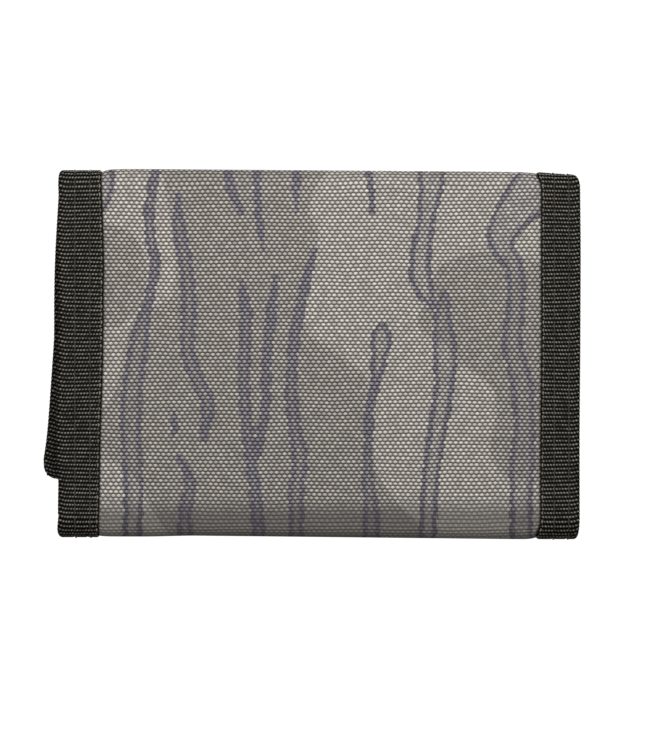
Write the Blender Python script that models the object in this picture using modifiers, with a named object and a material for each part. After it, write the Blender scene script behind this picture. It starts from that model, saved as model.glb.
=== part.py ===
"""Trifold wallet of woven polyester, bound in ribbed tape, closed by a hook-and-loop flap.

It stands on its bottom fold as when displayed. +X runs along the folds, +Z up, and +Y from the
plain front panel through the folded layers to the closure flap at the back.
Lengths below are in millimetres in the wallet's own layout, where y = 0 is the front of the binding
tape, z = 0 the underside of the bottom fold and x = 0 the middle of the front panel. The empty
"wallet" carries them into the scene in metres.
"""

import math

import bmesh
import bpy
from mathutils import Vector

MM = 0.001

# Driving dimensions
WIDTH = 125.0            # across the front panel, outside the binding tape
HEIGHT = 88.0            # folded, outside the binding tape
GAP = 0.2                # air kept between layers that touch
TAPE = 0.5               # binding tape thickness
CLOTH = 0.6              # woven outer shell thickness
LINING = 0.3             # thin nylon lining thickness
LEFT_LEG = 10.5          # how far the tape laps over the left edge of a panel
RIGHT_LEG = 9.6          # and over the right edge
TOP_RADIUS = 2.4         # bend of the shell's middle surface at the top fold
BOTTOM_RADIUS = 1.2      # and at the bottom fold, which is pressed flat so that the wallet stands
CLOSING_ANGLE = 53.0     # each side of a crease turns 45 degrees towards the other, plus clearance
LEAST_CREASE_GAP = 4.0   # degrees of bend left open each side of a crease

# Layers of the front panel, front to back
SHELL_Y = TAPE + GAP + CLOTH / 2
LINING_Y = SHELL_Y + CLOTH / 2 + GAP + LINING / 2
FRONT_EDGE_LEG_Y = LINING_Y + LINING / 2 + GAP + TAPE / 2
MOUTH_LEG_Y = FRONT_EDGE_LEG_Y + TAPE + 0.4
DIVIDER_Y = MOUTH_LEG_Y + TAPE / 2 + GAP + 0.2
DIVIDER = 0.4
ZIP_TAPE_Y = DIVIDER_Y + 1.4
ZIP_TAPE = 0.4
COIL_Y = ZIP_TAPE_Y + 1.0
COIL = 1.2
COIN_WALL_Y = ZIP_TAPE_Y + 0.6
INNER_LEG_Y = COIN_WALL_Y + 0.65

# Layers of the lower panel, which folds up behind the front panel
LOWER_FRONT_LEG_Y = 8.85
POST_END = LOWER_FRONT_LEG_Y + 0.1       # outer end of the zip slider's swivel post
WINDOW_Y = 9.6
MIDDLE_SLOT_Y = 10.05
BACK_SLOT_Y = 10.45
SLOT = 0.3
TRIM = 0.2
LOWER_LINING_Y = 10.95
LOWER_SHELL_Y = 11.6
LOWER_BACK_LEG_Y = LOWER_SHELL_Y + CLOTH / 2 + GAP + TAPE / 2
LOOP = 1.0
LOOP_Y = LOWER_SHELL_Y + CLOTH / 2 + GAP + LOOP / 2

# Layers of the closure flap, outermost at the back
HOOK = 0.6
HOOK_Y = LOOP_Y + LOOP / 2 + GAP + HOOK / 2
FLAP_LINING_Y = HOOK_Y + HOOK / 2 + GAP + LINING / 2
FLAP_SHELL_Y = FLAP_LINING_Y + LINING / 2 + GAP + CLOTH / 2
FLAP_FRONT_LEG_Y = FLAP_LINING_Y - LINING / 2 - GAP - TAPE / 2
FLAP_BACK_LEG_Y = FLAP_SHELL_Y + CLOTH / 2 + GAP + TAPE / 2
DEPTH = FLAP_BACK_LEG_Y + TAPE / 2

# Heights
SHELL_LOW = TAPE + GAP + CLOTH / 2
SHELL_HIGH = HEIGHT - SHELL_LOW
LOWER_END = 81.5         # free end of the lower panel's shell
FLAP_END = 14.8          # free end of the flap's shell
LINING_LOW, LINING_HIGH = 4.5, 83.5
ZIP_Z = 70.0
BACK_SLOT_TOP, MIDDLE_SLOT_TOP, WINDOW_TOP = 74.0, 64.5, 55.0
SLOT_LOW = 5.0
TRIM_WIDTH = 4.5
FOLD_LEG_DEPTH = 1.5     # how deep the tape laps inside the flat strip of a fold

# Zip of the coin pocket, which opens towards the left
COIL_HALF_LENGTH = 45.0
COIL_REACH = (0.55, 2.0)     # how near and far from the zip's middle a coil lies
POCKET_MOUTH = 4.0           # half the height of the opening that the zip closes
ZIP_TAPE_WIDTH = 7.5
ZIP_TAPE_SLOT = 0.6          # half the gap between the two zip tapes
SLIDER_REST_X = 41.0
SLIDER_LENGTH = 7.0
POST_RADIUS = 0.8
PULL_LENGTH = 19.0
PULL_WIDTH = 4.4

# Hook-and-loop patches
PATCH_HALF_WIDTH = 45.0
HOOK_LOW, HOOK_HIGH = 22.0, 41.0
LOOP_LOW, LOOP_HIGH = 16.0, 42.0

# The flap's free end was fastened a little to the left, so its edge shows beside the front panel
FLAP_SHIFT_TOP = 0.5
FLAP_SHIFT_END = 3.2
FLAP_SHIFT_START_Z = 44.0

EDGE_X = WIDTH / 2 - TAPE - GAP          # where layers stop, inside the tape
TAPE_X = WIDTH / 2 - TAPE / 2            # middle surface of the tape across a panel's edge


def material(name, colour, roughness, metallic=0.0):
    made = bpy.data.materials.new(name)
    made.use_nodes = True
    surface = made.node_tree.nodes["Principled BSDF"]
    surface.inputs["Base Color"].default_value = (*colour, 1.0)
    surface.inputs["Roughness"].default_value = roughness
    surface.inputs["Metallic"].default_value = metallic
    made.diffuse_color = (*colour, 1.0)
    return made


def clear_scene():
    for old in list(bpy.data.objects):
        bpy.data.objects.remove(old, do_unlink=True)


def add(name, mesh, finish, smooth=True):
    """One named object from a mesh in millimetres, carried by the wallet's empty."""
    made = bpy.data.objects.new(name, mesh)
    mesh.materials.append(MATERIALS[finish])
    if smooth:
        mesh.shade_smooth()
        mesh.set_sharp_from_angle(angle=math.radians(35))
    COLLECTION.objects.link(made)
    made.parent = WALLET
    return made


def solidify(item, thickness):
    thick = item.modifiers.new("Thickness", "SOLIDIFY")
    thick.thickness = thickness
    thick.offset = 0.0
    thick.use_even_offset = True
    return item


# ---- Paths of sheets in the YZ plane -------------------------------------------------

def crease_gap(radius, outside):
    """Degrees of bend to leave open each side of a crease.

    The fold turns about an axis just outside its shell, so a layer that reaches further out, outside
    the shell's middle surface, closes up as the fold opens and needs a notch.
    """
    axis = math.pi / 4 * math.sqrt(2) * radius
    closing = math.radians(CLOSING_ANGLE)
    reach = min(1.0, axis * math.sin(closing) / (radius + outside))
    return max(LEAST_CREASE_GAP, math.degrees(closing - math.asin(reach)))


def folded_path(start, end, inward, outset, outside, steps=4):
    """Stations of a layer from one corner of the folded shell to the next.

    A station is its place (y, z), the inward direction there and whether a bend follows it. start and
    end are the sharp corners of the shell's middle surface, as (y, z, radius), where radius 0 is a
    free end. The layer's middle lies outset outside the shell's, and its outer face outside.
    """
    inward = Vector(inward)
    (start, start_radius), (end, end_radius) = [(Vector(c[:2]), c[2]) for c in (start, end)]
    along = (end - start).normalized()
    points = []
    if start_radius:
        centre = start + (along + inward) * start_radius
        bend = 45.0 - crease_gap(start_radius, outside)
        for step in range(steps + 1):
            angle = math.radians(bend) * (1 - step / steps)
            outward = -inward * math.cos(angle) - along * math.sin(angle)
            points.append((centre + outward * (start_radius + outset), -outward, step < steps))
    else:
        points.append((start - inward * outset, inward, False))
    if end_radius:
        centre = end + (inward - along) * end_radius
        bend = 45.0 - crease_gap(end_radius, outside)
        for step in range(steps + 1):
            angle = math.radians(bend) * step / steps
            outward = -inward * math.cos(angle) + along * math.sin(angle)
            points.append((centre + outward * (end_radius + outset), -outward, True))
    else:
        points.append((end - inward * outset, inward, False))
    return points


def sweep(name, path, section, finish, thickness, arc_depth=1e9, shape=None):
    """A sheet that runs along a path, cut by a section of (x, depth inward from the path) points.

    Round a bend only the part of the section down to arc_depth is made, because a deeper leg would
    meet itself there.
    """
    build = bmesh.new()
    rows = []
    for place, inward, rounded in path:
        row = []
        for x, depth in section:
            spot = place + inward * depth
            row.append(build.verts.new((x, spot.x, spot.y)))
        rows.append((row, rounded))
    for (row, bent), (following, _) in zip(rows, rows[1:]):
        for i in range(len(section) - 1):
            if bent and max(section[i][1], section[i + 1][1]) > arc_depth:
                continue
            build.faces.new((row[i], row[i + 1], following[i + 1], following[i]))
    loose = [v for v in build.verts if not v.link_faces]
    bmesh.ops.delete(build, geom=loose, context="VERTS")
    if shape:
        for v in build.verts:
            v.co.x += shape(v.co.z)
    bmesh.ops.recalc_face_normals(build, faces=build.faces[:])
    mesh = bpy.data.meshes.new(name)
    build.to_mesh(mesh)
    build.free()
    return solidify(add(name, mesh, finish), thickness)


def straight(low, high, y, steps=1):
    """A flat path up a panel at depth y."""
    return [
        (Vector((y, low + (high - low) * i / steps)), Vector((1, 0)), False)
        for i in range(steps + 1)
    ]


def u_section(side, lap, depth, corner=0.6, steps=3):
    """Tape folded over a panel's edge: outer leg, rounded web and inner leg, as (x, depth) points."""
    edge = side * TAPE_X
    points = [(edge - side * lap, 0.0)]
    for turn in (0, 1):
        for step in range(steps + 1):
            angle = math.radians(90) * step / steps
            if turn == 0:
                x, d = math.sin(angle), 1 - math.cos(angle)
                points.append((edge - side * corner * (1 - x), corner * d))
            else:
                x, d = math.cos(angle), math.sin(angle)
                points.append((edge - side * corner * (1 - x), depth - corner + corner * d))
    points.append((edge - side * lap, depth))
    return points


# ---- Pieces ---------------------------------------------------------------------------

def sheet(name, y, low, high, thickness, finish, left=-EDGE_X, right=EDGE_X, shape=None, steps=1):
    return sweep(name, straight(low, high, y, steps), [(left, 0.0), (right, 0.0)], finish,
                 thickness, shape=shape)


def end_binding(name, y_near, y_far, z_edge, lap, upward, shape=None):
    """Tape folded over a panel's free end, from edge to edge between the side tapes' webs."""
    way = 1 if upward else -1
    steps = 4
    radius = (y_far - y_near) / 2
    middle = (y_near + y_far) / 2
    points = [Vector((y_near, z_edge - way * lap))]
    for step in range(steps + 1):
        angle = math.radians(180) * step / steps
        points.append(Vector((middle - radius * math.cos(angle),
                              z_edge - way * radius * (1 - math.sin(angle)))))
    points.append(Vector((y_far, z_edge - way * lap)))
    path = [(p, Vector((0, 0)), False) for p in points]
    inner = WIDTH / 2 - LEFT_LEG - 0.4
    return sweep(name, path, [(-inner, 0.0), (inner, 0.0)], "tape", TAPE, shape=shape)


def box(name, low, high, finish, bevel=0.0, shape=None):
    """A box between two corners in millimetres, from Blender's cube."""
    low, high = Vector(low), Vector(high)
    bpy.ops.mesh.primitive_cube_add(size=1.0)
    cube = bpy.context.active_object
    mesh = cube.data
    bpy.data.objects.remove(cube, do_unlink=True)
    size, centre = high - low, (low + high) / 2
    for v in mesh.vertices:
        v.co = Vector(a * b for a, b in zip(v.co, size)) + centre
        if shape:
            v.co.x += shape(v.co.z)
    mesh.name = name
    made = add(name, mesh, finish, smooth=False)
    if bevel:
        rounding = made.modifiers.new("Rounding", "BEVEL")
        rounding.width = bevel
        rounding.segments = 2
    return made


def cylinder_y(name, x, z, y_low, y_high, radius, finish, sides=24):
    """A round post along Y, from Blender's cylinder."""
    bpy.ops.mesh.primitive_cylinder_add(vertices=sides, radius=radius, depth=y_high - y_low)
    made = bpy.context.active_object
    mesh = made.data
    bpy.data.objects.remove(made, do_unlink=True)
    for v in mesh.vertices:
        v.co = Vector((v.co.x + x, v.co.z + (y_low + y_high) / 2, -v.co.y + z))
    mesh.name = name
    return add(name, mesh, finish)


def combine(target, others, operation="UNION"):
    """Joins pieces to the target, or cuts them from it, and takes them out of the model."""
    for number, other in enumerate(others):
        step = target.modifiers.new(f"{operation} {number}", "BOOLEAN")
        step.operation = operation
        step.object = other
        other.hide_render = True
        other.display_type = "WIRE"
        COLLECTION.objects.unlink(other)
        CUTTERS.objects.link(other)
    return target


def hang(name, axis_point, build):
    """Builds a moving body's pieces and hangs them from an empty on the body's joint axis."""
    before = set(COLLECTION.objects)
    build()
    pieces = set(COLLECTION.objects) - before
    empty = bpy.data.objects.new(name, None)
    empty.location = axis_point
    empty.parent = WALLET
    COLLECTION.objects.link(empty)
    for piece in pieces:
        piece.parent = empty
        piece.location = -axis_point


def fold_axis(corner, inward):
    """The axis of a square fold, placed so that the shell keeps its length when it is laid flat."""
    y, z, radius = corner
    inset = (1 - math.pi / 4) * radius
    return Vector((0.0, y + inward[0] * inset, z + inward[1] * inset))


def flap_shift(z):
    """How far the flap lies to the left at height z: even at the top, fanning out to its free end."""
    drop = max(0.0, min(1.0, (FLAP_SHIFT_START_Z - z) / (FLAP_SHIFT_START_Z - FLAP_END)))
    return -(FLAP_SHIFT_TOP + (FLAP_SHIFT_END - FLAP_SHIFT_TOP) * drop * drop)


def shell_panel(name, start, end, inward, shape=None, steps=1):
    """One panel of the outer shell, rounded over at its folds as far as the crease."""
    path = refine(folded_path(start, end, inward, 0.0, CLOTH / 2), steps)
    return sweep(name, path, [(-EDGE_X, 0.0), (EDGE_X, 0.0)], "printed_fabric", CLOTH, shape=shape)


def refine(path, steps):
    """The same path with its longest straight run cut into even steps, so that it can follow a curve."""
    runs = [(path[i + 1][0] - path[i][0]).length for i in range(len(path) - 1)]
    longest = runs.index(max(runs))
    (a, inward, _), (b, _, _) = path[longest], path[longest + 1]
    extra = [(a.lerp(b, i / steps), inward, False) for i in range(1, steps)]
    return path[:longest + 1] + extra + path[longest + 1:]


def side_binding(name, side, lap, start, end, inward, depth, shape=None, steps=1):
    """Binding tape down one side of a panel, rounded over at its folds as far as the crease."""
    outset = CLOTH / 2 + GAP + TAPE / 2
    path = refine(folded_path(start, end, inward, outset, outset + TAPE / 2), steps)
    return sweep(name, path, u_section(side, lap, depth), "tape", TAPE, arc_depth=1.0,
                 shape=shape)


# Sharp corners of the shell's middle surface as (y, z, bend radius), from the lower panel's free end,
# under the bottom fold, up the front, over the top fold and down to the flap's free end
CORNERS = (
    (LOWER_SHELL_Y, LOWER_END, 0.0),
    (LOWER_SHELL_Y, SHELL_LOW, BOTTOM_RADIUS),
    (SHELL_Y, SHELL_LOW, BOTTOM_RADIUS),
    (SHELL_Y, SHELL_HIGH, TOP_RADIUS),
    (FLAP_SHELL_Y, SHELL_HIGH, TOP_RADIUS),
    (FLAP_SHELL_Y, FLAP_END, 0.0),
)
FORWARD, BACKWARD, UP, DOWN = (-1, 0), (1, 0), (0, 1), (0, -1)


def build_front_panel():
    start, end = CORNERS[2], CORNERS[3]
    shell_panel("front_shell", start, end, BACKWARD)
    sheet("front_lining", LINING_Y, LINING_LOW, LINING_HIGH, LINING, "lining")
    side_binding("front_left_binding", -1, LEFT_LEG, start, end, BACKWARD,
                 FRONT_EDGE_LEG_Y - TAPE / 2)
    side_binding("front_right_binding", 1, RIGHT_LEG, start, end, BACKWARD,
                 INNER_LEG_Y - TAPE / 2)
    mouth_edge = 1.0     # the bill compartment's inner wall stops short of the outer edge
    sheet("bill_divider", DIVIDER_Y, LINING_LOW, LINING_HIGH, DIVIDER, "lining",
          left=-EDGE_X + mouth_edge)
    mouth = [(x + mouth_edge, depth) for x, depth in
             u_section(-1, LEFT_LEG - mouth_edge, INNER_LEG_Y - MOUTH_LEG_Y)]
    sweep("bill_mouth_binding", straight(LINING_LOW, LINING_HIGH, MOUTH_LEG_Y), mouth, "tape", TAPE)


def build_coin_pocket():
    left = -EDGE_X + 1.0
    sheet("coin_pocket_wall", COIN_WALL_Y, LINING_LOW, ZIP_Z - POCKET_MOUTH, 0.4, "pocket_nylon",
          left=left)
    sheet("coin_pocket_top_strip", COIN_WALL_Y, ZIP_Z + POCKET_MOUTH, LINING_HIGH, 0.4,
          "pocket_nylon", left=left)
    reach = COIL_HALF_LENGTH + 5.0
    for name, way in (("lower", -1), ("upper", 1)):
        low, high = sorted(ZIP_Z + way * edge for edge in
                           (ZIP_TAPE_SLOT, ZIP_TAPE_SLOT + ZIP_TAPE_WIDTH))
        sheet(f"zip_tape_{name}", ZIP_TAPE_Y, low, high, ZIP_TAPE, "zip_tape", -reach, reach)
        low, high = sorted(ZIP_Z + way * edge for edge in COIL_REACH)
        box(f"zip_coil_{name}", (-COIL_HALF_LENGTH, COIL_Y - COIL / 2, low),
            (COIL_HALF_LENGTH, COIL_Y + COIL / 2, high), "zip_coil", bevel=0.3)
    for name, way in (("left", -1), ("right", 1)):
        near, far = sorted(way * (COIL_HALF_LENGTH + end) for end in (0.3, 2.0))
        box(f"zip_stop_{name}", (near, COIL_Y - COIL / 2, ZIP_Z - COIL_REACH[1]),
            (far, COIL_Y + COIL / 2, ZIP_Z + COIL_REACH[1]), "metal", bevel=0.3)


def build_zip_slider():
    """Two plates round the coils, joined by a wedge in the gap between them, with a swivel post."""
    x, half = SLIDER_REST_X, SLIDER_LENGTH / 2
    plate_low = COIL_Y + COIL / 2 + 0.25
    plate_high = plate_low + 0.7
    back_high = ZIP_TAPE_Y - ZIP_TAPE / 2 - GAP
    back_low = back_high - 0.5
    rim_middle, rim_half = 3.0, 0.4
    slider = box("zip_slider", (x - half, plate_low, ZIP_Z - rim_middle - rim_half),
                 (x + half, plate_high, ZIP_Z + rim_middle + rim_half), "metal", bevel=0.3)
    back = box("slider_back", (x - half + 0.6, back_low, ZIP_Z - 2.4),
               (x + half - 0.6, back_high, ZIP_Z + 2.4), "metal")
    wedge = box("slider_wedge", (x - 0.8, back_low + 0.2, ZIP_Z - 0.25),
                (x + 0.8, plate_low + 0.3, ZIP_Z + 0.25), "metal")
    rims = [
        box(f"slider_rim_{way}",
            (x - half + 0.4, ZIP_TAPE_Y + ZIP_TAPE / 2 + GAP, ZIP_Z + way * rim_middle - rim_half + 0.1),
            (x + half - 0.4, plate_low + 0.3, ZIP_Z + way * rim_middle + rim_half - 0.1), "metal")
        for way in (-1, 1)
    ]
    post = cylinder_y("slider_post", x, ZIP_Z, plate_low + 0.3, POST_END - 0.2, POST_RADIUS,
                      "metal")
    head = cylinder_y("slider_head", x, ZIP_Z, POST_END - 0.35, POST_END, 1.6, "metal")
    combine(slider, [back, wedge, *rims, post, head])


def build_zip_pull():
    """A flat tab that hangs from the slider's post and turns on it in the plane of the panel."""
    x = SLIDER_REST_X
    low = COIL_Y + COIL / 2 + 0.25 + 0.7 + 0.15
    high = POST_END - 0.5
    pull = box("zip_pull", (x - PULL_WIDTH / 2, low, ZIP_Z - PULL_LENGTH),
               (x + PULL_WIDTH / 2, high, ZIP_Z + 2.6), "pull", bevel=0.12)
    eye = cylinder_y("pull_eye", x, ZIP_Z, low - 1.0, high + 1.0, POST_RADIUS + 0.25, "pull")
    combine(pull, [eye], "DIFFERENCE")


def build_top_fold():
    start, end = CORNERS[3], CORNERS[4]
    shell_panel("top_fold_shell", start, end, DOWN)
    for name, side, lap in (("left", -1, LEFT_LEG), ("right", 1, RIGHT_LEG)):
        side_binding(f"top_fold_{name}_binding", side, lap, start, end, DOWN, FOLD_LEG_DEPTH)


def build_bottom_fold():
    start, end = CORNERS[2], CORNERS[1]
    shell_panel("bottom_fold_shell", start, end, UP)
    for name, side, lap in (("left", -1, LEFT_LEG), ("right", 1, RIGHT_LEG)):
        side_binding(f"bottom_fold_{name}_binding", side, lap, start, end, UP, FOLD_LEG_DEPTH)


def build_lower_panel():
    start, end = CORNERS[1], CORNERS[0]
    shell_panel("lower_shell", start, end, FORWARD)
    sheet("lower_lining", LOWER_LINING_Y, LINING_LOW, LOWER_END, LINING, "lining")
    depth = LOWER_BACK_LEG_Y - LOWER_FRONT_LEG_Y
    tape_end = (end[0], end[1] + 0.5, 0.0)
    side_binding("lower_left_binding", -1, LEFT_LEG, start, tape_end, FORWARD, depth)
    side_binding("lower_right_binding", 1, RIGHT_LEG, start, tape_end, FORWARD, depth)
    near = LOWER_LINING_Y - LINING / 2 - GAP - TAPE / 2
    end_binding("lower_end_binding", near, LOWER_BACK_LEG_Y, LOWER_END + 1.1, 7.0, True)
    for name, y, top in (("back_card_slot", BACK_SLOT_Y, BACK_SLOT_TOP),
                         ("middle_card_slot", MIDDLE_SLOT_Y, MIDDLE_SLOT_TOP)):
        sheet(name, y, SLOT_LOW, top - 0.3, SLOT, "pocket_nylon")
        trim_y = y - SLOT / 2 - GAP - TRIM / 2
        sheet(f"{name}_trim", trim_y, top - TRIM_WIDTH, top, TRIM, "tape", -51.0, 51.8)
    sheet("id_window", WINDOW_Y, SLOT_LOW, WINDOW_TOP - 0.3, 0.2, "clear_vinyl")
    sheet("id_window_trim", WINDOW_Y - 0.1 - GAP - TRIM / 2, WINDOW_TOP - TRIM_WIDTH, WINDOW_TOP,
          TRIM, "tape", -51.0, 51.8)
    box("loop_patch", (-PATCH_HALF_WIDTH, LOOP_Y - LOOP / 2, LOOP_LOW),
        (PATCH_HALF_WIDTH, LOOP_Y + LOOP / 2, LOOP_HIGH), "loop_pile", bevel=0.25)


def build_flap():
    start, end = CORNERS[4], CORNERS[5]
    cuts = 10
    shell_panel("flap_shell", start, end, FORWARD, shape=flap_shift, steps=cuts)
    sheet("flap_lining", FLAP_LINING_Y, FLAP_END, LINING_HIGH, LINING, "lining",
          shape=flap_shift, steps=cuts)
    depth = FLAP_BACK_LEG_Y - FLAP_FRONT_LEG_Y
    tape_end = (end[0], end[1] - 0.8, 0.0)
    for name, side, lap in (("left", -1, LEFT_LEG), ("right", 1, RIGHT_LEG)):
        side_binding(f"flap_{name}_binding", side, lap, start, tape_end, FORWARD, depth,
                     shape=flap_shift, steps=cuts)
    end_binding("flap_end_binding", FLAP_FRONT_LEG_Y, FLAP_BACK_LEG_Y, FLAP_END - 1.2, 7.0, False,
                shape=flap_shift)
    box("hook_patch", (-PATCH_HALF_WIDTH, HOOK_Y - HOOK / 2, HOOK_LOW),
        (PATCH_HALF_WIDTH, HOOK_Y + HOOK / 2, HOOK_HIGH), "hook_plastic", shape=flap_shift)


clear_scene()
COLLECTION = bpy.data.collections.new("trifold_wallet")
CUTTERS = bpy.data.collections.new("cutters")
bpy.context.scene.collection.children.link(COLLECTION)
bpy.context.scene.collection.children.link(CUTTERS)

MATERIALS = {
    "printed_fabric": material("printed_fabric", (0.26, 0.245, 0.21), 0.85),
    "tape": material("tape", (0.028, 0.028, 0.024), 0.75),
    "lining": material("lining", (0.02, 0.02, 0.022), 0.6),
    "pocket_nylon": material("pocket_nylon", (0.03, 0.03, 0.032), 0.65),
    "clear_vinyl": material("clear_vinyl", (0.85, 0.87, 0.88), 0.12),
    "zip_tape": material("zip_tape", (0.025, 0.025, 0.027), 0.8),
    "zip_coil": material("zip_coil", (0.035, 0.035, 0.038), 0.4),
    "metal": material("metal", (0.12, 0.12, 0.13), 0.35, 1.0),
    "pull": material("pull", (0.03, 0.03, 0.03), 0.6),
    "loop_pile": material("loop_pile", (0.022, 0.022, 0.024), 0.95),
    "hook_plastic": material("hook_plastic", (0.025, 0.025, 0.027), 0.5),
}

# The box round the whole wallet reaches further left than right, by the flap's fanned-out corner
WALLET = bpy.data.objects.new("wallet", None)
WALLET.scale = (MM, MM, MM)
WALLET.location = (FLAP_SHIFT_END / 2 * MM, -DEPTH / 2 * MM, 0.0)
COLLECTION.objects.link(WALLET)

build_front_panel()
build_coin_pocket()
hang("top_spine_axis", fold_axis(CORNERS[3], (1, -1)), build_top_fold)
hang("closure_flap_axis", fold_axis(CORNERS[4], (-1, -1)), build_flap)
hang("bottom_spine_axis", fold_axis(CORNERS[2], (1, 1)), build_bottom_fold)
hang("lower_panel_axis", fold_axis(CORNERS[1], (-1, 1)), build_lower_panel)
swivel = Vector((SLIDER_REST_X, POST_END, ZIP_Z))
hang("zip_slider_axis", swivel, build_zip_slider)
hang("zip_pull_axis", swivel, build_zip_pull)
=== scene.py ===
"""Looks of the trifold wallet: woven print, ribbed binding tape, stitching, pockets and zip.

Lengths are in millimetres in the wallet's own layout until place() turns them into the frame's
metres: x = 0 is the middle of the front panel, y = 0 the front of its tape and z = 0 the underside.
The folded shell is a path seen along X. A length v runs along it, and on the front panel v = z.
"""

import math

import bpy
import numpy as np
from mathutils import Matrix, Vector


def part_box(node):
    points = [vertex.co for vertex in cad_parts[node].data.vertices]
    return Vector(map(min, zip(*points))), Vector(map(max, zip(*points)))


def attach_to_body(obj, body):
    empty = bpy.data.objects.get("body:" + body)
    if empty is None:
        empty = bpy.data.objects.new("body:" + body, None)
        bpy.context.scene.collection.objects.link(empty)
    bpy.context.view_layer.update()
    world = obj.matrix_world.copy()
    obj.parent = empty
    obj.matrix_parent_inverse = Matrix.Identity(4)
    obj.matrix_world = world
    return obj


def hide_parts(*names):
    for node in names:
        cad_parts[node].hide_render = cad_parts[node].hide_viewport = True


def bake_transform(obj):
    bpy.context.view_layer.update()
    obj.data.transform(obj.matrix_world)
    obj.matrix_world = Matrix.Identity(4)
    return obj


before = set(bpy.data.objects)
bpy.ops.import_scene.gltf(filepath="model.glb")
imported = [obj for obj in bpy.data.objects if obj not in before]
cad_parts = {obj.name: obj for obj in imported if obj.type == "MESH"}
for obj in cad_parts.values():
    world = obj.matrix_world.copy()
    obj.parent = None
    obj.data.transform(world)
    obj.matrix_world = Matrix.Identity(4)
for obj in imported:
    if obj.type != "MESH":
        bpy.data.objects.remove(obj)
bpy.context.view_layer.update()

MM = 0.001
SEED = 11

# ---- Layout, read from the frame ------------------------------------------------------

_low, _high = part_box("front_shell")
ORIGIN = np.array([(_low.x + _high.x) / 2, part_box("front_left_binding")[0].y, 0.0])


def layout(node):
    """A CAD node's lowest and highest corners in the wallet's layout, in millimetres."""
    low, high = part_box(node)
    return (np.array(low) - ORIGIN) / MM, (np.array(high) - ORIGIN) / MM


def place(points):
    """Layout millimetres to the frame's metres."""
    return np.asarray(points, float) * MM + ORIGIN


CLOTH = 0.6
TAPE = 0.5
HALF = -layout("front_left_binding")[0][0]
LEFT_LAP = layout("front_left_binding")[1][0] + HALF
RIGHT_LAP = HALF - layout("front_right_binding")[0][0]
FRONT_Y = layout("front_shell")[0][1] + CLOTH / 2
LOW_Z = layout("bottom_fold_shell")[0][2] + CLOTH / 2
HIGH_Z = layout("top_fold_shell")[1][2] - CLOTH / 2
LOWER_Y = layout("lower_shell")[1][1] - CLOTH / 2
FLAP_Y = layout("flap_shell")[1][1] - CLOTH / 2
LOWER_TOP = layout("lower_shell")[1][2]
FLAP_LOW = layout("flap_shell")[0][2]
TOP_BEND, LOW_BEND = 3.4, 4.2          # the soft folds' radii, a little fuller than the CAD's
SPREAD_TOP, SPREAD_OVER = 1.3, 34.0     # the flap comes out from behind by this, over this height
SPREAD_FROM_Z, SPREAD_TO_Z = 48.0, 19.0 # and by the rest between these two heights
SPREAD_EXTRA = 0.55                    # the flap lies this much further out than its CAD solid
SPREAD_END = SPREAD_EXTRA + layout("front_shell")[0][0] - layout("flap_shell")[0][0]
TAPE_OUT = FRONT_Y - TAPE / 2 - layout("front_left_binding")[0][1]   # from the shell's middle
MIDDLE_V = 44.0        # half-way up the front panel: above it is the top fold, below it the bottom one


FRONT_RUN = 4          # the front panel's place among the path's runs and bends


class ShellPath:
    """Straight runs joined by quarter bends, from the lower panel's free end to the flap's."""

    def __init__(self, corners):
        self.parts, self.bends = [], []
        v = 0.0
        for (y0, z0, r0), (y1, z1, r1) in zip(corners, corners[1:]):
            start, end = np.array([y0, z0]), np.array([y1, z1])
            along = (end - start) / np.linalg.norm(end - start)
            out = np.array([-along[1], along[0]])
            length = np.linalg.norm(end - start) - r0 - r1
            self.parts.append((v, v + length, start + along * r0, along, out, 0.0))
            v += length
            if r1:
                centre = end - along * r1 - out * r1
                bend = (v, v + r1 * math.pi / 2)
                self.parts.append((*bend, centre, along, out, r1))
                self.bends.append(bend)
                v = bend[1]
        shift = self.parts[FRONT_RUN][2][1] - self.parts[FRONT_RUN][0]
        self.parts = [(a + shift, b + shift, *rest) for a, b, *rest in self.parts]
        self.bends = [(a + shift, b + shift) for a, b in self.bends]
        self.start, self.end = self.parts[0][0], self.parts[-1][1]

    def at(self, v):
        """Places (y, z) and outward directions."""
        v = np.asarray(v, float)
        spots, outward = np.zeros(v.shape + (2,)), np.zeros(v.shape + (2,))
        for a, _, origin, along, out, radius in self.parts:
            inside = (v >= a) | (a == self.start)
            t = (v[inside] - a)[:, None]
            if radius:
                turned = out * np.cos(t / radius) + along * np.sin(t / radius)
                spots[inside], outward[inside] = origin + turned * radius, turned
            else:
                spots[inside], outward[inside] = origin + along * t, out
        return spots, outward

    def spine_share(self, v):
        """0 on the three panels, 1 on the two flat strips of the folds, smooth round the bends."""
        share = 0.0
        for (a, b), (c, d) in (self.bends[0:2], self.bends[2:4]):
            rise, fall = (np.clip((v - first) / (last - first), 0, 1) * math.pi / 2
                          for first, last in ((a, b), (c, d)))
            share = share + np.where(v < (b + c) / 2, 1 - np.cos(rise), 1 - np.sin(fall))
        return share


PATH = ShellPath([
    (LOWER_Y, LOWER_TOP, 0.0),
    (LOWER_Y, LOW_Z, LOW_BEND),
    (FRONT_Y, LOW_Z, LOW_BEND),
    (FRONT_Y, HIGH_Z, TOP_BEND),
    (FLAP_Y, HIGH_Z, TOP_BEND),
    (FLAP_Y, FLAP_LOW, 0.0),
])
CREASE_MARGIN = 0.5
PANELS = ("lower", "front", "flap")
_NAMES = ["lower", "lower_crease", "bottom_fold", "front_low_crease", "front", "front_top_crease",
          "top_fold", "flap_crease", "flap"]
_BODIES = ["lower_panel", "bottom_spine", "front_panel", "top_spine", "closure_flap"]
_EDGES = [PATH.start, *(end for a, b in PATH.bends for end in (a - CREASE_MARGIN, b + CREASE_MARGIN)),
          PATH.end]
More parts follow.
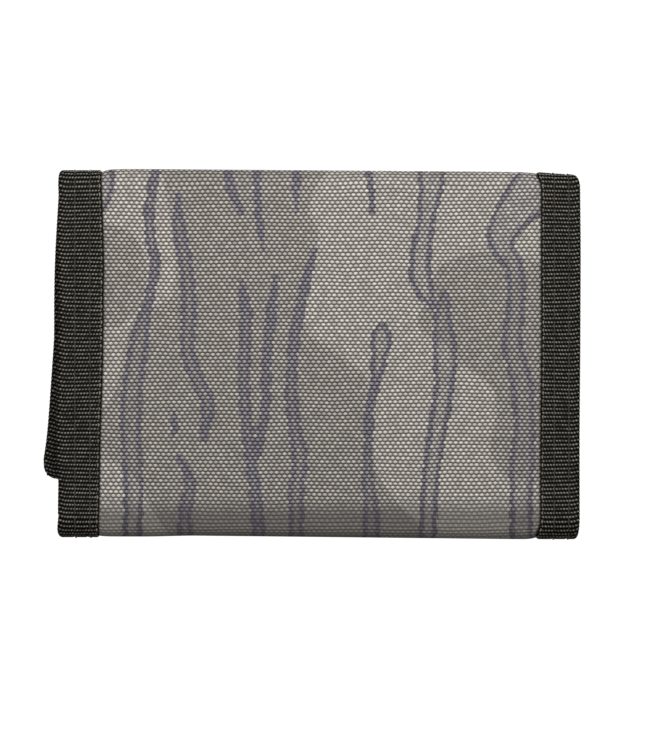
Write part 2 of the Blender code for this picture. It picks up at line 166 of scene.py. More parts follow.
# (name, bodies, first v, last v); a crease lies between two bodies
SEGMENTS = [(name, _BODIES[i // 2:i // 2 + 1 + i % 2], _EDGES[i], _EDGES[i + 1])
            for i, name in enumerate(_NAMES)]


def smooth(t):
    t = np.clip(t, 0, 1)
    return t * t * (3 - 2 * t)


def flap_spread(v):
    """How far the shell lies to the left of the front panel, growing to the flap's free end."""
    v = np.asarray(v, float)
    z = FLAP_LOW + (PATH.end - v)
    behind = v > PATH.bends[3][1]
    over = smooth((HIGH_Z - z) / SPREAD_OVER) * behind
    drop = np.clip((SPREAD_FROM_Z - z) / (SPREAD_FROM_Z - SPREAD_TO_Z), 0, 1) * behind
    fold = 0.2 * smooth((v - PATH.bends[2][0]) / 9.0)
    return -(fold + SPREAD_TOP * over + (SPREAD_END - SPREAD_TOP) * (0.52 * drop + 0.48 * drop ** 4))


def fold_lift(x, v):
    """How far the tapes stand off their folds' round: above it at the left, drooping at the right."""
    top = np.where(x > 0, -0.30 - 0.09 * np.clip(x - 53, -2, 10), 0.22)
    low = np.where(x > 0, 0.28, -0.20)
    return PATH.spine_share(v) * np.where(v > MIDDLE_V, top, low)


# ---- Meshes ---------------------------------------------------------------------------

def unit(vectors):
    return vectors / np.maximum(np.linalg.norm(vectors, axis=-1, keepdims=True), 1e-9)


def make_object(name, mesh, material, sharp_angle=62):
    mesh.set_sharp_from_angle(angle=math.radians(sharp_angle))
    piece = bpy.data.objects.new(name, mesh)
    mesh.materials.append(material)
    bpy.context.scene.collection.objects.link(piece)
    return piece


def build_mesh(name, points, face_sets, uv, fields=None):
    """A smooth-shaded mesh of layout points and arrays of faces, with a UV in mm and floats."""
    sides = np.concatenate([np.full(len(faces), faces.shape[1], np.int32) for faces in face_sets])
    corners = np.concatenate([faces.ravel() for faces in face_sets]).astype(np.int32)
    mesh = bpy.data.meshes.new(name)
    mesh.vertices.add(len(points))
    mesh.vertices.foreach_set("co", place(points).astype(np.float32).ravel())
    mesh.loops.add(len(corners))
    mesh.loops.foreach_set("vertex_index", corners)
    mesh.polygons.add(len(sides))
    mesh.polygons.foreach_set("loop_start", np.cumsum(sides, dtype=np.int32) - sides)
    mesh.polygons.foreach_set("loop_total", sides)
    mesh.polygons.foreach_set("use_smooth", np.ones(len(sides), bool))
    mesh.update(calc_edges=True)
    layer = mesh.uv_layers.new(name="Cloth")
    layer.data.foreach_set("uv", np.asarray(uv, np.float32)[corners].ravel())
    for key, values in (fields or {}).items():
        attribute = mesh.attributes.new(key, "FLOAT", "POINT")
        attribute.data.foreach_set("value", np.asarray(values, np.float32).ravel())
    return mesh


def closed_sheet(name, outer, inner, uv, material, fields=None):
    """A closed thin body between two grids of points, with its rim filled.

    Its float "inside" is 0 on the outer grid and 1 on the inner one.
    """
    rows, columns = outer.shape[:2]
    count = rows * columns
    normals = np.cross(np.gradient(outer, axis=0), np.gradient(outer, axis=1))
    index = np.arange(count).reshape(rows, columns)
    a, b, c, d = index[:-1, :-1], index[:-1, 1:], index[1:, 1:], index[1:, :-1]
    quads = np.stack([a, d, c, b], axis=-1).reshape(-1, 4)
    loop = np.concatenate([index[0, :-1], index[:-1, -1], index[-1, :0:-1], index[:0:-1, 0]])
    following = np.roll(loop, -1)
    rim = np.stack([loop, following, following + count, loop + count], axis=-1)
    if np.sum(unit(normals) * (outer - inner)) < 0:
        quads, rim = quads[:, ::-1], rim[:, ::-1]
    points = np.concatenate([outer.reshape(-1, 3), inner.reshape(-1, 3)])
    doubled = {key: np.tile(np.ravel(value), 2) for key, value in (fields or {}).items()}
    doubled["inside"] = np.repeat([0.0, 1.0], count)
    mesh = build_mesh(name, points, [quads, quads[:, ::-1] + count, rim],
                      np.tile(uv.reshape(-1, 2), (2, 1)), doubled)
    return make_object(name, mesh, material)


def tubes(name, paths, radius, material, sides=6):
    """One object of many capped tubes from pairs: some points, as many for each, and a side."""
    path = np.array([points for points, _ in paths], float)
    side = np.array([across for _, across in paths], float)[:, None]
    tube_count, count = path.shape[:2]
    along = unit(np.gradient(path, axis=1))
    side = unit(side - np.sum(side * along, axis=-1, keepdims=True) * along)
    turn = np.linspace(0, 2 * math.pi, sides, endpoint=False)[:, None]
    ring = side[:, :, None] * np.cos(turn) + np.cross(along, side)[:, :, None] * np.sin(turn)
    thick = np.full((count, 1, 1), radius)
    thick[[0, -1]] *= 0.45
    body = (path[:, :, None] + ring * thick).reshape(tube_count, -1, 3)
    steps = np.linalg.norm(np.diff(path, axis=1), axis=-1)
    length = np.pad(np.cumsum(steps, axis=1), ((0, 0), (1, 0)))[..., None]
    uv = np.stack(np.broadcast_arrays(turn[:, 0] * radius, length), -1).reshape(tube_count, -1, 2)
    # Each tube's points are its rings, then the middles of its two ends
    first = np.arange(tube_count)[:, None, None] * (count * sides + 2)
    index = first + np.arange(count * sides).reshape(count, sides)
    shifted = np.roll(index, -1, axis=-1)
    walls = np.stack([index[:, :-1], shifted[:, :-1], shifted[:, 1:], index[:, 1:]], -1)
    middles = np.broadcast_to(first + count * sides + np.array([[0], [1]]), (tube_count, 2, sides))
    caps = [np.stack([middles[:, 0], shifted[:, 0], index[:, 0]], -1),
            np.stack([middles[:, 1], index[:, -1], shifted[:, -1]], -1)]
    mesh = build_mesh(name, np.concatenate([body, path[:, [0, -1]]], axis=1).reshape(-1, 3),
                      [walls.reshape(-1, 4), *(cap.reshape(-1, 3) for cap in caps)],
                      np.concatenate([uv, np.zeros((tube_count, 2, 2))], axis=1).reshape(-1, 2))
    return make_object(name, mesh, material)


def settle(piece, bodies, node=None, ends=None):
    """Rides on one body, or, given two, keeps its rest shape baked in place, and may stand for a CAD
    node.
    """
    if len(bodies) == 1:
        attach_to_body(piece, bodies[0])
    else:
        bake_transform(piece)
    if node:
        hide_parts(node)
    return piece


def crease_ends(first, last, inside=0.6):
    """Two points on the shell's middle, in from a crease's two ends.

    They lie in from the ends along the line between them, by `inside` times the root of a half.
    """
    spots, _ = PATH.at(np.array([first, last]))
    across = spots[1] - spots[0]
    inset = across / np.linalg.norm(across) * inside * math.sqrt(0.5)
    return [Vector(place((0.0, y, z))) for y, z in (spots[0] + inset, spots[1] - inset)]


# ---- Print, drawn in millimetres on the flat cloth --------------------------------------

def curve(points, steps=10):
    """A smooth line through given points."""
    points = [np.array(p, float) for p in points]
    ends = [2 * points[0] - points[1], *points, 2 * points[-1] - points[-2]]
    line = []
    for p0, p1, p2, p3 in zip(ends, ends[1:], ends[2:], ends[3:]):
        for t in np.linspace(0, 1, steps, endpoint=False):
            line.append(0.5 * (2 * p1 + (p2 - p0) * t + (2 * p0 - 5 * p1 + 4 * p2 - p3) * t * t
                               + (3 * p1 - p0 - 3 * p2 + p3) * t ** 3))
    line.append(points[-1])
    return np.array(line)


# Bark-like strokes on the front panel as (x, v, width); the wide ones show as outlines
FRONT_STROKES = [
    [(-38.6, 93, 2.6), (-39.1, 87, 2.6), (-40.5, 78.5, 2.6), (-40, 71.4, 2.8), (-39.1, 65.4, 2.6),
     (-41.2, 54.6, 2.8), (-42.6, 48.7, 4.3), (-44.1, 39.1, 5.0), (-44.8, 31.9, 5.2),
     (-44.8, 22.4, 5.0), (-44.1, 11.6, 4.8), (-44.6, 1.5, 4.6), (-45, -6, 4.6)],
    [(-33.7, 82, 1.4), (-33.5, 75, 3.2), (-31.7, 65.4, 3.5), (-30.9, 55.8, 3.6), (-31.3, 45.1, 3.4),
     (-28.9, 37.9, 3.6), (-26.5, 32.5, 3.4), (-27.2, 27, 2.4), (-27.4, 23.2, 1.2)],
    [(-34.5, 30, 1.0), (-34.2, 27.4, 2.0), (-34.6, 25, 1.0)],
    [(-33.4, 19.8, 1.0), (-30.7, 12.8, 2.8), (-31.9, 5.7, 3.4), (-31.8, -6, 3.4)],
    [(-54, 93, 7.0), (-52, 86, 6.5), (-52.6, 80, 4.6), (-54.6, 76, 1.5)],
    [(-22.4, 92, 2.2), (-21.4, 86, 2.2), (-19.9, 81, 2.4), (-18.4, 77.6, 1.2)],
    [(-14.4, 92, 2.0), (-14.6, 84, 2.0), (-14.2, 76, 2.0), (-13.3, 69.4, 1.0)],
    [(-5.2, 93, 2.2), (-5.4, 85, 2.2), (-5.2, 77.6, 1.2)],
    [(11.9, 93, 1.8), (12.3, 86, 1.8), (12.9, 78.2, 1.2)],
    [(-18.3, 61, 1.6), (-17.3, 53.4, 3.0), (-17.8, 41.5, 3.0), (-17.6, 31.9, 2.9),
     (-16.2, 18.8, 2.9), (-14.6, 6, 3.0), (-14.4, -6, 3.2)],
    [(-10.1, 62.6, 1.4), (-11.3, 53.4, 2.6), (-12.5, 41.5, 2.5), (-12.8, 29.5, 2.3),
     (-15.0, 18.8, 2.0)],
    [(-0.6, 69.6, 1.2), (-3.2, 60.6, 2.4), (-5.4, 49.9, 2.7), (-6.6, 37.9, 2.9), (-5.8, 27.2, 3.1),
     (-4.4, 18.8, 4.0), (-5.4, 10.4, 3.7), (-5.2, -6, 3.5)],
    [(15.1, 50.4, 3.0), (15.0, 47.4, 5.0), (14.5, 42.6, 3.8), (13.6, 37, 2.5), (12.3, 31, 2.3),
     (11.9, 22.4, 2.2), (11.8, 15.2, 2.7), (12.6, 5.7, 4.0), (12.4, -6, 4.2)],
    [(27.2, 94, 6.4), (27.0, 84.5, 6.2), (25.7, 76.2, 4.6), (24.3, 66, 5.2), (24.9, 60.6, 5.0),
     (27.3, 55.4, 2.0)],
    [(30.4, 58, 2.6), (29.6, 53.4, 4.2), (30.2, 45.1, 6.0), (30.1, 37.9, 5.0), (29.4, 31.9, 4.6),
     (27.9, 22.4, 4.5), (26.7, 12.8, 4.3), (26.1, 1.5, 4.3), (26, -6, 4.3)],
    [(58, 95, 12.0), (53.5, 86, 12.0), (47.6, 79, 9.4), (43.9, 73.4, 7.4), (44.2, 69, 5.4),
     (46.8, 65, 4.6), (47.2, 55.8, 4.4), (46.3, 47.5, 5.0), (47.6, 41, 5.2), (48.9, 35.0, 5.6),
     (49.2, 27.2, 5.0), (48.7, 17.6, 6.0), (48.4, 8, 5.4), (48.8, -6, 5.4)],
]

# Outlines of the darker patches on the front panel as (x, v); they close under the tapes or
# round the folds
FRONT_PATCHES = [
    [(-30, 102), (-37, 95), (-36.9, 85), (-35.5, 77.3), (-34.0, 65.4), (-35.2, 57.6),
     (-40.9, 54.8), (-45.2, 50), (-47.6, 39), (-50.3, 32), (-56, 28), (-57, 22), (-51.4, 18.9),
     (-47.0, 17.4), (-42.1, 12.2), (-39.7, 6.8), (-36.1, 1.0), (-31, -7), (-10, -11), (12, -9),
     (26, -3), (23.6, 3.8), (17.7, 9.8), (13.8, 16.4), (12.4, 26), (11.7, 37.3), (7.5, 42.1),
     (2.2, 45.7), (-2.8, 49.6), (-3.6, 58), (-2.0, 65), (-0.2, 71.4), (-0.4, 74.4), (-2.2, 78.2),
     (-1.0, 83.3), (1.8, 88), (2, 97), (-5, 103), (-18, 99)],
    [(-58, 76), (-51, 75.2), (-45.6, 73.6), (-42.2, 69), (-41.2, 63), (-42.6, 55.8), (-46.8, 51.4),
     (-51, 50.2), (-58, 50)],
    [(60, 65), (53, 66), (47, 67.3), (38.6, 68.5), (31.4, 66.6), (27.9, 63.6), (26.6, 57.6),
     (23.7, 53), (24.9, 49.3), (29, 47.3), (31.7, 44.5), (34.4, 41.3), (39.2, 38.5), (42.2, 34.6),
     (42.4, 28.4), (41, 22.4), (42.6, 17.6), (45.6, 14.6), (53, 14.2), (60, 15)],
]


def wandering_lines(first, last, seed):
    """The same kind of lines for a panel that is drawn by rule: single, double and broken ones."""
    rng = np.random.default_rng(seed)
    lines = []
    for x in np.arange(-57, 60, 8.0):
        x = x + rng.uniform(-2.0, 2.0)
        low, high = first + rng.uniform(0, 9), last - rng.uniform(0, 9)
        if rng.random() < 0.35:
            cut = rng.uniform(0.25, 0.75) * (last - first) + first
            low, high = (first, cut) if rng.random() < 0.5 else (cut, last)
        v = np.arange(low, high + 4, 4.0)
        waves = [(rng.uniform(0.8, 2.0), rng.uniform(26, 60), rng.uniform(0, 6.3)),
                 (rng.uniform(0.3, 0.8), rng.uniform(11, 19), rng.uniform(0, 6.3))]
        sway = sum(a * np.sin(2 * math.pi * v / period + phase) for a, period, phase in waves)
        broad = 1.8 if rng.random() < 0.45 else 3.6
        width = broad + 0.9 * np.sin(v / 9 + rng.uniform(0, 6.3))
        taper = np.clip(np.minimum(v - low, high + 4 - v) / 8.0 + 0.3, 0, 1)
        lines.append([(x + s, t, w) for s, t, w in zip(sway, v, width * taper)])
    return lines


def wandering_patches(first, last, seed):
    """Outlines of darker patches for a panel drawn by rule: rounded, lobed and often joined."""
    rng = np.random.default_rng(seed)
    turn = np.linspace(0, 2 * math.pi, 40, endpoint=False)
    outlines = []
    for x in (-44, -16, 14, 44):
        for share in (0.2, 0.75):
            if rng.random() < 0.2:
                continue
            centre_x = x + rng.uniform(-9, 9)
            centre_v = first + (last - first) * (share + rng.uniform(-0.15, 0.15))
            size = rng.uniform(9, 15)
            reach = size * (1 + sum(depth * np.sin(lobes * turn + rng.uniform(0, 6.3))
                                    for lobes, depth in ((2, 0.30), (3, 0.16), (5, 0.07))))
            outlines.append(np.column_stack([centre_x + reach * np.cos(turn),
                                             centre_v + 1.25 * reach * np.sin(turn)]))
    return outlines


def run_out(strokes):
    """The strokes, with those that reach a fold carried on round it to a thin end."""
    longer = []
    for number, stroke in enumerate(strokes):
        further = 7.0 * (number * 0.618 % 1.0)
        (x0, v0, _), (x1, v1, _) = stroke[0], stroke[-1]
        start = [(x0 + 0.6, v0 + 3 + further, 1.2)] if v0 > 90 else []
        end = [(x1 - 0.8, v1 - 3 - further, 1.2)] if v1 < 0 else []
        longer.append(start + stroke + end)
    return longer


PRINT_LINES = [curve(line) for line in
               run_out(FRONT_STROKES) + wandering_lines(96, PATH.end + 10, SEED)
               + wandering_lines(PATH.start - 10, -5, SEED + 1)]
PATCH_OUTLINES = ([curve(outline, 5) for outline in FRONT_PATCHES]
                  + wandering_patches(112, PATH.end + 4, SEED + 2)
                  + wandering_patches(PATH.start - 4, -16, SEED + 3))


def from_segment(spots, a, b):
    """How far each spot lies from a segment, and how far along the segment, as a share."""
    run = b - a
    share = np.clip((spots - a) @ run / max(run @ run, 1e-9), 0, 1)
    return np.linalg.norm(spots - a - share[:, None] * run, axis=1), share


def ink_distance(u, v, far=9.0, reach=4.0):
    """Millimetres to the edge of the nearest printed stroke, below 0 inside it."""
    spots = np.stack([u.ravel(), v.ravel()], -1)
    nearest = np.full(len(spots), far)
    for line in PRINT_LINES:
        low, high = line[:, :2].min(axis=0) - reach, line[:, :2].max(axis=0) + reach
        close = np.all((spots > low) & (spots < high), axis=1)
        if not close.any():
            continue
        near, best = spots[close], nearest[close]
        for a, b in zip(line[:-1], line[1:]):
            gap, share = from_segment(near, a[:2], b[:2])
            best = np.minimum(best, gap - (a[2] + (b[2] - a[2]) * share) / 2)
        nearest[close] = best
    return nearest.reshape(u.shape)


def depth_inside(u, v, outline):
    """Millimetres inside a closed outline, below 0 outside it."""
    spots = np.stack([u.ravel(), v.ravel()], -1)
    nearest, crossings = np.full(len(spots), 99.0), np.zeros(len(spots), int)
    for a, b in zip(outline, np.roll(outline, -1, axis=0)):
        nearest = np.minimum(nearest, from_segment(spots, a, b)[0])
        spans = (a[1] > spots[:, 1]) != (b[1] > spots[:, 1])
        if spans.any():
            slope = (b[0] - a[0]) / (b[1] - a[1])
            crossings += spans & (spots[:, 0] < a[0] + (spots[:, 1] - a[1]) * slope)
    return np.where(crossings % 2, nearest, -nearest).reshape(u.shape)


def patch_field(u, v):
    """Above 0 inside the darker patches, rising inwards by 0.08 for each millimetre."""
    return 0.08 * np.max([depth_inside(u, v, outline) for outline in PATCH_OUTLINES], axis=0)


# ---- Materials ------------------------------------------------------------------------

def attach(socket, value):
    """Links a Value to a socket, or sets the socket to a number or a colour."""
    if isinstance(value, Value):
        socket.id_data.links.new(value.socket, socket)
    elif isinstance(value, tuple):
        socket.default_value = value + (1.0,) * (len(socket.default_value) - len(value))
    else:
        socket.default_value = value


def add_node(tree, kind, output=0, inputs=None, **settings):
    """One output of a new node; its inputs are given by name or number."""
    node = tree.nodes.new(f"ShaderNode{kind}")
    for key, value in settings.items():
        setattr(node, key, value)
    for key, value in (inputs or {}).items():
        attach(node.inputs[key], value)
    return Value(node.outputs[output])


def calculate(operation, *values):
    """A Math node on values and numbers, at least one of them a value."""
    tree = next(value.socket.id_data for value in values if isinstance(value, Value))
    return add_node(tree, "Math", 0, dict(enumerate(values)), operation=operation)


class Value:
    """An output in a shader tree; Python's signs join it to others by Math nodes."""

    def __init__(self, socket):
        self.socket = socket

    def sine(self, period):
        """A sine that is 0 at 0 and at each period's end, and changes sign between them."""
        return calculate("SINE", self * (math.pi / period))

    def scale(self, low, high, to_low, to_high, kind="LINEAR"):
        """to_low below low, to_high above high and even between them."""
        return add_node(self.socket.id_data, "MapRange", 0,
                        dict(enumerate((self, low, high, to_low, to_high))), interpolation_type=kind)

    def step(self, low, high):
        """0 below low, 1 above high and smooth between them."""
        return self.scale(low, high, 0.0, 1.0, "SMOOTHSTEP")


def _method(operation):
    return lambda self, *others: calculate(operation, self, *others)


for _name, _operation in {
        "__abs__": "ABSOLUTE", "floor": "FLOOR", "root": "SQRT", "cosine": "COSINE",
        "at_least": "MAXIMUM", "at_most": "MINIMUM", "__add__": "ADD", "__sub__": "SUBTRACT",
        "__mul__": "MULTIPLY", "__truediv__": "DIVIDE", "__pow__": "POWER",
        "__mod__": "FLOORED_MODULO"}.items():
    setattr(Value, _name, _method(_operation))
Value.__rsub__ = lambda self, other: calculate("SUBTRACT", other, self)


class Shader:
    """A Principled material being made, with short names for the nodes it uses."""

    def __init__(self, name, roughness=0.6, metallic=0.0):
        self.material = bpy.data.materials.new(name)
        self.material.use_nodes = True
        self.tree = self.material.node_tree
        self.surface = self.tree.nodes["Principled BSDF"]
        self.set("Roughness", roughness)
        self.set("Metallic", metallic)

    def set(self, socket, value):
        attach(self.surface.inputs[socket], value)

    def uv(self):
        cloth = add_node(self.tree, "UVMap", uv_map="Cloth")
        split = add_node(self.tree, "SeparateXYZ", inputs={0: cloth}).socket.node
        return Value(split.outputs[0]), Value(split.outputs[1])

    def vector(self, x, y, z=0.0):
        return add_node(self.tree, "CombineXYZ", inputs={0: x, 1: y, 2: z})

    def noise(self, spot, scale, detail=2.0):
        spot = self.vector(*spot) if isinstance(spot, tuple) else spot
        return add_node(self.tree, "TexNoise", "Fac",
                        {"Vector": spot, "Scale": scale, "Detail": detail})

    def random(self, *spot):
        return add_node(self.tree, "TexWhiteNoise", "Value", {"Vector": self.vector(*spot)})

    def field(self, name):
        return add_node(self.tree, "Attribute", "Fac", attribute_name=name)

    def mix(self, share, first, second):
        return add_node(self.tree, "Mix", 2, {0: share, 6: first, 7: second}, data_type="RGBA")

    def finish(self, colour, height, distance, roughness=None):
        """Sets the colour, the relief over a distance in mm and, if it varies, the roughness."""
        self.set("Base Color", colour)
        if roughness is not None:
            self.set("Roughness", roughness)
        self.set("Normal", add_node(self.tree, "Bump", inputs={
            "Strength": 1.0, "Distance": distance * MM, "Height": height}))
        return self.material

    def beads(self, u, v, pitch_u, pitch_v, wide, high):
        """Rows of oval weft beads, each row shifted by half: their height, the warp in the gaps
        between them, how far up its bead a point lies, and a random value for each bead."""
        row = v / pitch_v
        j = row.floor()
        column = u / pitch_u + j % 2.0 * 0.5
        i = column.floor()
        across, up = column - i - 0.5, row - j - 0.5
        du, dv = across * (pitch_u / wide), up * (pitch_v / high)
        bead = (1.0 - (du * du + dv * dv)).at_least(0.0).root()
        gap = (abs(across) - 0.5) * (pitch_u / 0.30)
        warp = (1.0 - gap * gap).at_least(0.0) * (up * 2.4).cosine()
        return bead, warp, up, self.random(i, j)

    def weave(self, u, v, pitch):
        """Plain weave: how high the upper yarn stands, and a random value for each crossing."""
        column, row = u / pitch, v / pitch
        i, j = column.floor(), row.floor()
        odd = (i + j) % 2.0
        fu, fv = column - i - 0.5, row - j - 0.5
        weft = (1.0 - odd) * (fu * math.pi).cosine() * (1.0 - fv * fv * 3.6)
        warp = odd * (fv * math.pi).cosine() * (1.0 - fu * fu * 3.6)
        return weft.at_least(warp), self.random(i, j)


def printed_cloth():
    """Coarse plain weave with a two-tone print and darker bark-like lines."""
    n = Shader("printed_cloth")
    u, v = n.uv()
    slow, slower = n.noise((u, v), 0.045), n.noise((v, u, 7.0), 0.03)
    u, v = u + slower, v + slow * 1.3
    bead, warp, up, chance = n.beads(u, v, 1.26, 0.885, 0.59, 0.455)
    strand = n.noise((u * 0.6, v * 5.0), 1.0, 3.0)
    # Painted highlight and shade: each bead's crest is painted bright and the hollows round it dark,
    # and each bead is lighter on its upper side and darker below, as if lit from above.
    lit = (bead ** 1.35 * chance.scale(0, 1, 0.79, 1.11) * strand.scale(0.3, 0.7, 0.86, 1.10)
           * up.scale(-0.5, 0.5, 0.60, 1.22))
    bright = lit.at_least(warp * 0.22)
    # Painted shade over the bottom fold: the beads' highlights are flattened to a dark level there, a
    # little lighter at the fold's middle.
    packed = n.field("packed")
    bright = bright * (1.0 - packed * 0.8) + packed * n.field("middle").scale(0, 1, 0.12, 0.27)
    shade = n.noise((u, v, 3.0), 0.35, 3.0)
    patch = n.field("patch") + (shade - 0.5) * 0.08 + (chance - 0.5) * 0.06
    dark = patch.step(-0.02, 0.02)
    # low is the hollows' painted shade and high the crests' painted highlight, in the pale tone and in
    # the darker patches' tone.
    low = n.mix(dark, (0.048, 0.044, 0.044), (0.022, 0.020, 0.021))
    high = n.mix(dark, (0.82, 0.758, 0.684), (0.635, 0.582, 0.528))
    ink = n.field("ink") + (shade - 0.5) * 0.8 + (chance - 0.5) * 0.65
    faded = n.random((u * 1.1).floor(), (v * 1.3).floor()).scale(0, 1, 0.6, 1.0)
    within = (1.0 - ink.step(-1.45, -0.95)) * faded
    inked = (1.0 - ink.step(-0.15, 0.15)) * (1.0 - within * 0.88)
    low = n.mix(inked, low, (0.010, 0.008, 0.022))
    high = n.mix(inked, high, (0.375, 0.346, 0.380))
    # Painted shadow: the cloth goes near black in a thin line along each tape's edge, where the tape
    # shades it.
    clear_of_tape_shadow = n.field("from_tape").scale(0.05, 0.45, 0.15, 1.0)
    face = n.mix(clear_of_tape_shadow, (0.010, 0.009, 0.010), n.mix(bright.at_most(1.0), low, high))
    # The inside face carries the beads' painted highlight too, on a near-black coating.
    coating = n.mix(bright * shade.scale(0.3, 0.7, 0.6, 1.1), (0.010, 0.010, 0.011),
                    (0.060, 0.060, 0.060))
    n.set("Specular IOR Level", 0.25)
    return n.finish(n.mix(n.field("inside"), face, coating),
                    bead.at_least(warp * 0.45) + strand * 0.10, 0.30, bright.scale(0, 1, 0.80, 0.50))


def ribbed_tape():
    """Black webbing: cross ribs with a bead of light on each warp yarn that crosses them."""
    n = Shader("ribbed_tape")
    w, v = n.uv()
    rows = v / RIB
    row = rows.floor()
    slant = (rows - row - 0.5) * 0.5
    across = w / 0.77 + row % 2.0 * 0.5 + n.random(row, 3.0) * 0.16 + slant
    chance = n.random(across.floor(), row)
    bead, crest = abs(across.sine(1.0)), abs(v.sine(RIB)) ** 6.5
    # Painted highlight: the pale colour is a glint along the rib crests, brightest on each warp bead,
    # and on the selvedge loops.
    painted_glint = (crest * bead ** 2.2 * chance.scale(0, 1, 0.55, 1.7)
            * n.noise((w, v), 0.25).scale(0.3, 0.7, 0.7, 1.2))
    selvedge = 1.0 - abs(w - 0.50).step(0.08, 0.22)
    loops = selvedge * v.sine(RIB).at_least(0.0).root() * n.random(row, 8.0).scale(0, 1, 0.3, 1.3)
    # Towards the outer leg's free edge the colour fades to black, painted shade where the tape rounds
    # over.
    share = (crest * 0.03 + painted_glint).at_least(loops) * w.step(0.10, 0.34)
    n.set("Specular IOR Level", 0.06)
    return n.finish(n.mix(share.at_most(1.0), (0.0027, 0.0024, 0.0019), (0.31, 0.294, 0.240)),
                    bead * crest * 0.9 + chance * 0.2 + loops * 0.8, 0.15,
                    chance.scale(0, 1, 0.45, 0.7))


def fine_nylon(name, dark, light, pitch=0.32, roughness=0.5):
    """Fine plain-weave nylon for linings and pockets, softly crumpled and rubbed, with painted sheen.
    """
    n = Shader(name)
    u, v = n.uv()
    yarn, chance = n.weave(u, v, pitch)
    creases_and_painted_sheen = n.noise((u, v), 0.12, 3.0)
    crumpled = n.noise((u * 0.6, v, 5.0), 0.07, 4.0)
    rubbed = n.noise((v, u, 9.0), 0.35, 5.0)
    thick = n.noise((u * 0.05, v * 3.0), 1.0)
    # Painted sheen and shade: the colour goes lighter and darker with the broad creases, which also
    # shape the relief.
    share = (yarn * chance.scale(0, 1, 0.55, 1.1) * creases_and_painted_sheen.scale(0.3, 0.7, 0.45, 1.4)
             * thick.scale(0.3, 0.7, 0.75, 1.15) * rubbed.scale(0.35, 0.65, 0.7, 1.25))
    return n.finish(n.mix(share.at_most(1.0), dark, light),
                    yarn * 0.06 + creases_and_painted_sheen * 0.10 + crumpled * 3.0, 1.0,
                    rubbed.scale(0, 1, roughness - 0.12, roughness + 0.12))


def thread(name, dark, light):
    """Twisted sewing thread."""
    n = Shader(name, roughness=0.5)
    w, v = n.uv()
    ply = abs((w * 6.0 + v * 9.0).sine(math.pi))
    return n.finish(n.mix(ply, dark, light), ply, 0.05)


def worn_metal(name, colour, worn, roughness):
    """Painted die-cast metal, rubbed bright where hands and the coil touch it."""
    n = Shader(name, metallic=0.85)
    spot = add_node(n.tree, "TexCoord", "Object")
    fine, broad = n.noise(spot, 2600.0, 4.0), n.noise(spot, 420.0, 3.0)
    brushed = add_node(n.tree, "Mapping", inputs={"Scale": (900.0, 900.0, 9000.0), "Vector": spot})
    lines = n.noise(brushed, 1.0)
    edge = add_node(n.tree, "NewGeometry", "Pointiness")
    rubbed = edge.step(0.52, 0.60).at_least(broad.step(0.62, 0.74))
    return n.finish(n.mix(rubbed * 0.8, colour, worn), fine + lines * 0.7, 0.03,
                    (fine * 0.5 + lines * 0.5).scale(0.3, 0.7, roughness - 0.12, roughness + 0.14))


def moulded(name, dark, light, roughness, speckle=1.5):
    """Moulded or extruded nylon with a faint mottle."""
    n = Shader(name)
    u, v = n.uv()
    mottle = n.noise((u, v), speckle, 4.0)
    fine = n.noise((v, u, 2.0), speckle * 7)
    return n.finish(n.mix(mottle.scale(0.3, 0.7, 0, 1), dark, light), fine + mottle, 0.03,
                    fine.scale(0.3, 0.7, roughness - 0.1, roughness + 0.1))


def clear_vinyl():
    """Soft clear film, faintly cloudy, with small ripples."""
    n = Shader("clear_vinyl")
    u, v = n.uv()
    cloud = n.noise((v, u, 4.0), 0.5, 4.0)
    n.set("Transmission Weight", 0.97)
    n.set("IOR", 1.5)
    return n.finish(n.mix(cloud, (0.88, 0.90, 0.90), (0.95, 0.96, 0.96)),
                    n.noise((u * 0.7, v), 0.06, 1.0), 0.6, cloud.scale(0.3, 0.7, 0.06, 0.14))


def zip_cloth():
    """Herringbone zip tape."""
    n = Shader("zip_cloth")
    u, v = n.uv()
    twill = abs((u + abs(v % 1.6 - 0.8)).sine(0.45))
    mottle = n.noise((u, v), 0.8, 3.0)
    share = twill * abs(v.sine(0.2)).scale(0, 1, 0.55, 1.0) * mottle.scale(0.3, 0.7, 0.7, 1.1)
    return n.finish(n.mix(share.at_most(1.0), (0.005, 0.005, 0.005), (0.045, 0.045, 0.043)), share,
                    0.06)


RIB = 0.95             # the side tapes' ribs, from one to the next
CLOTH_PRINT = printed_cloth()
TAPE_BLACK = ribbed_tape()
THREAD = thread("tape_thread", (0.010, 0.010, 0.009), (0.070, 0.068, 0.060))
LINING = fine_nylon("lining_nylon", (0.003, 0.003, 0.0034), (0.034, 0.034, 0.036))
POCKET = fine_nylon("pocket_nylon", (0.005, 0.005, 0.0056), (0.052, 0.052, 0.055), 0.5, 0.45)
METAL = worn_metal("slider_metal", (0.060, 0.060, 0.064), (0.42, 0.41, 0.40), 0.36)
PULL = worn_metal("pull_metal", (0.070, 0.070, 0.074), (0.46, 0.45, 0.44), 0.32)
COIL = moulded("coil_nylon", (0.010, 0.010, 0.011), (0.030, 0.030, 0.032), 0.34)
HOOK = moulded("hook_nylon", (0.005, 0.005, 0.005), (0.020, 0.020, 0.021), 0.46)
PILE = moulded("loop_nylon", (0.008, 0.008, 0.009), (0.050, 0.050, 0.052), 0.65, 0.9)
VINYL = clear_vinyl()
ZIP_TAPE = zip_cloth()


# ---- Shell ----------------------------------------------------------------------------

SHELL_HALF = HALF - 0.8                            # the cloth ends here, inside the tapes
FOLD_MIDDLE = (PATH.bends[0][0] + PATH.bends[1][1]) / 2


def from_tape_edge(u, v):
    """Millimetres in from the nearer binding's edge, below 0 under the tape."""
    reach = HALF - TAPE / 2
    left = u + reach - LEFT_LAP - edge_wander(-1, v)[1]
    return np.minimum(left, reach - RIGHT_LAP - edge_wander(1, v)[1] - u)


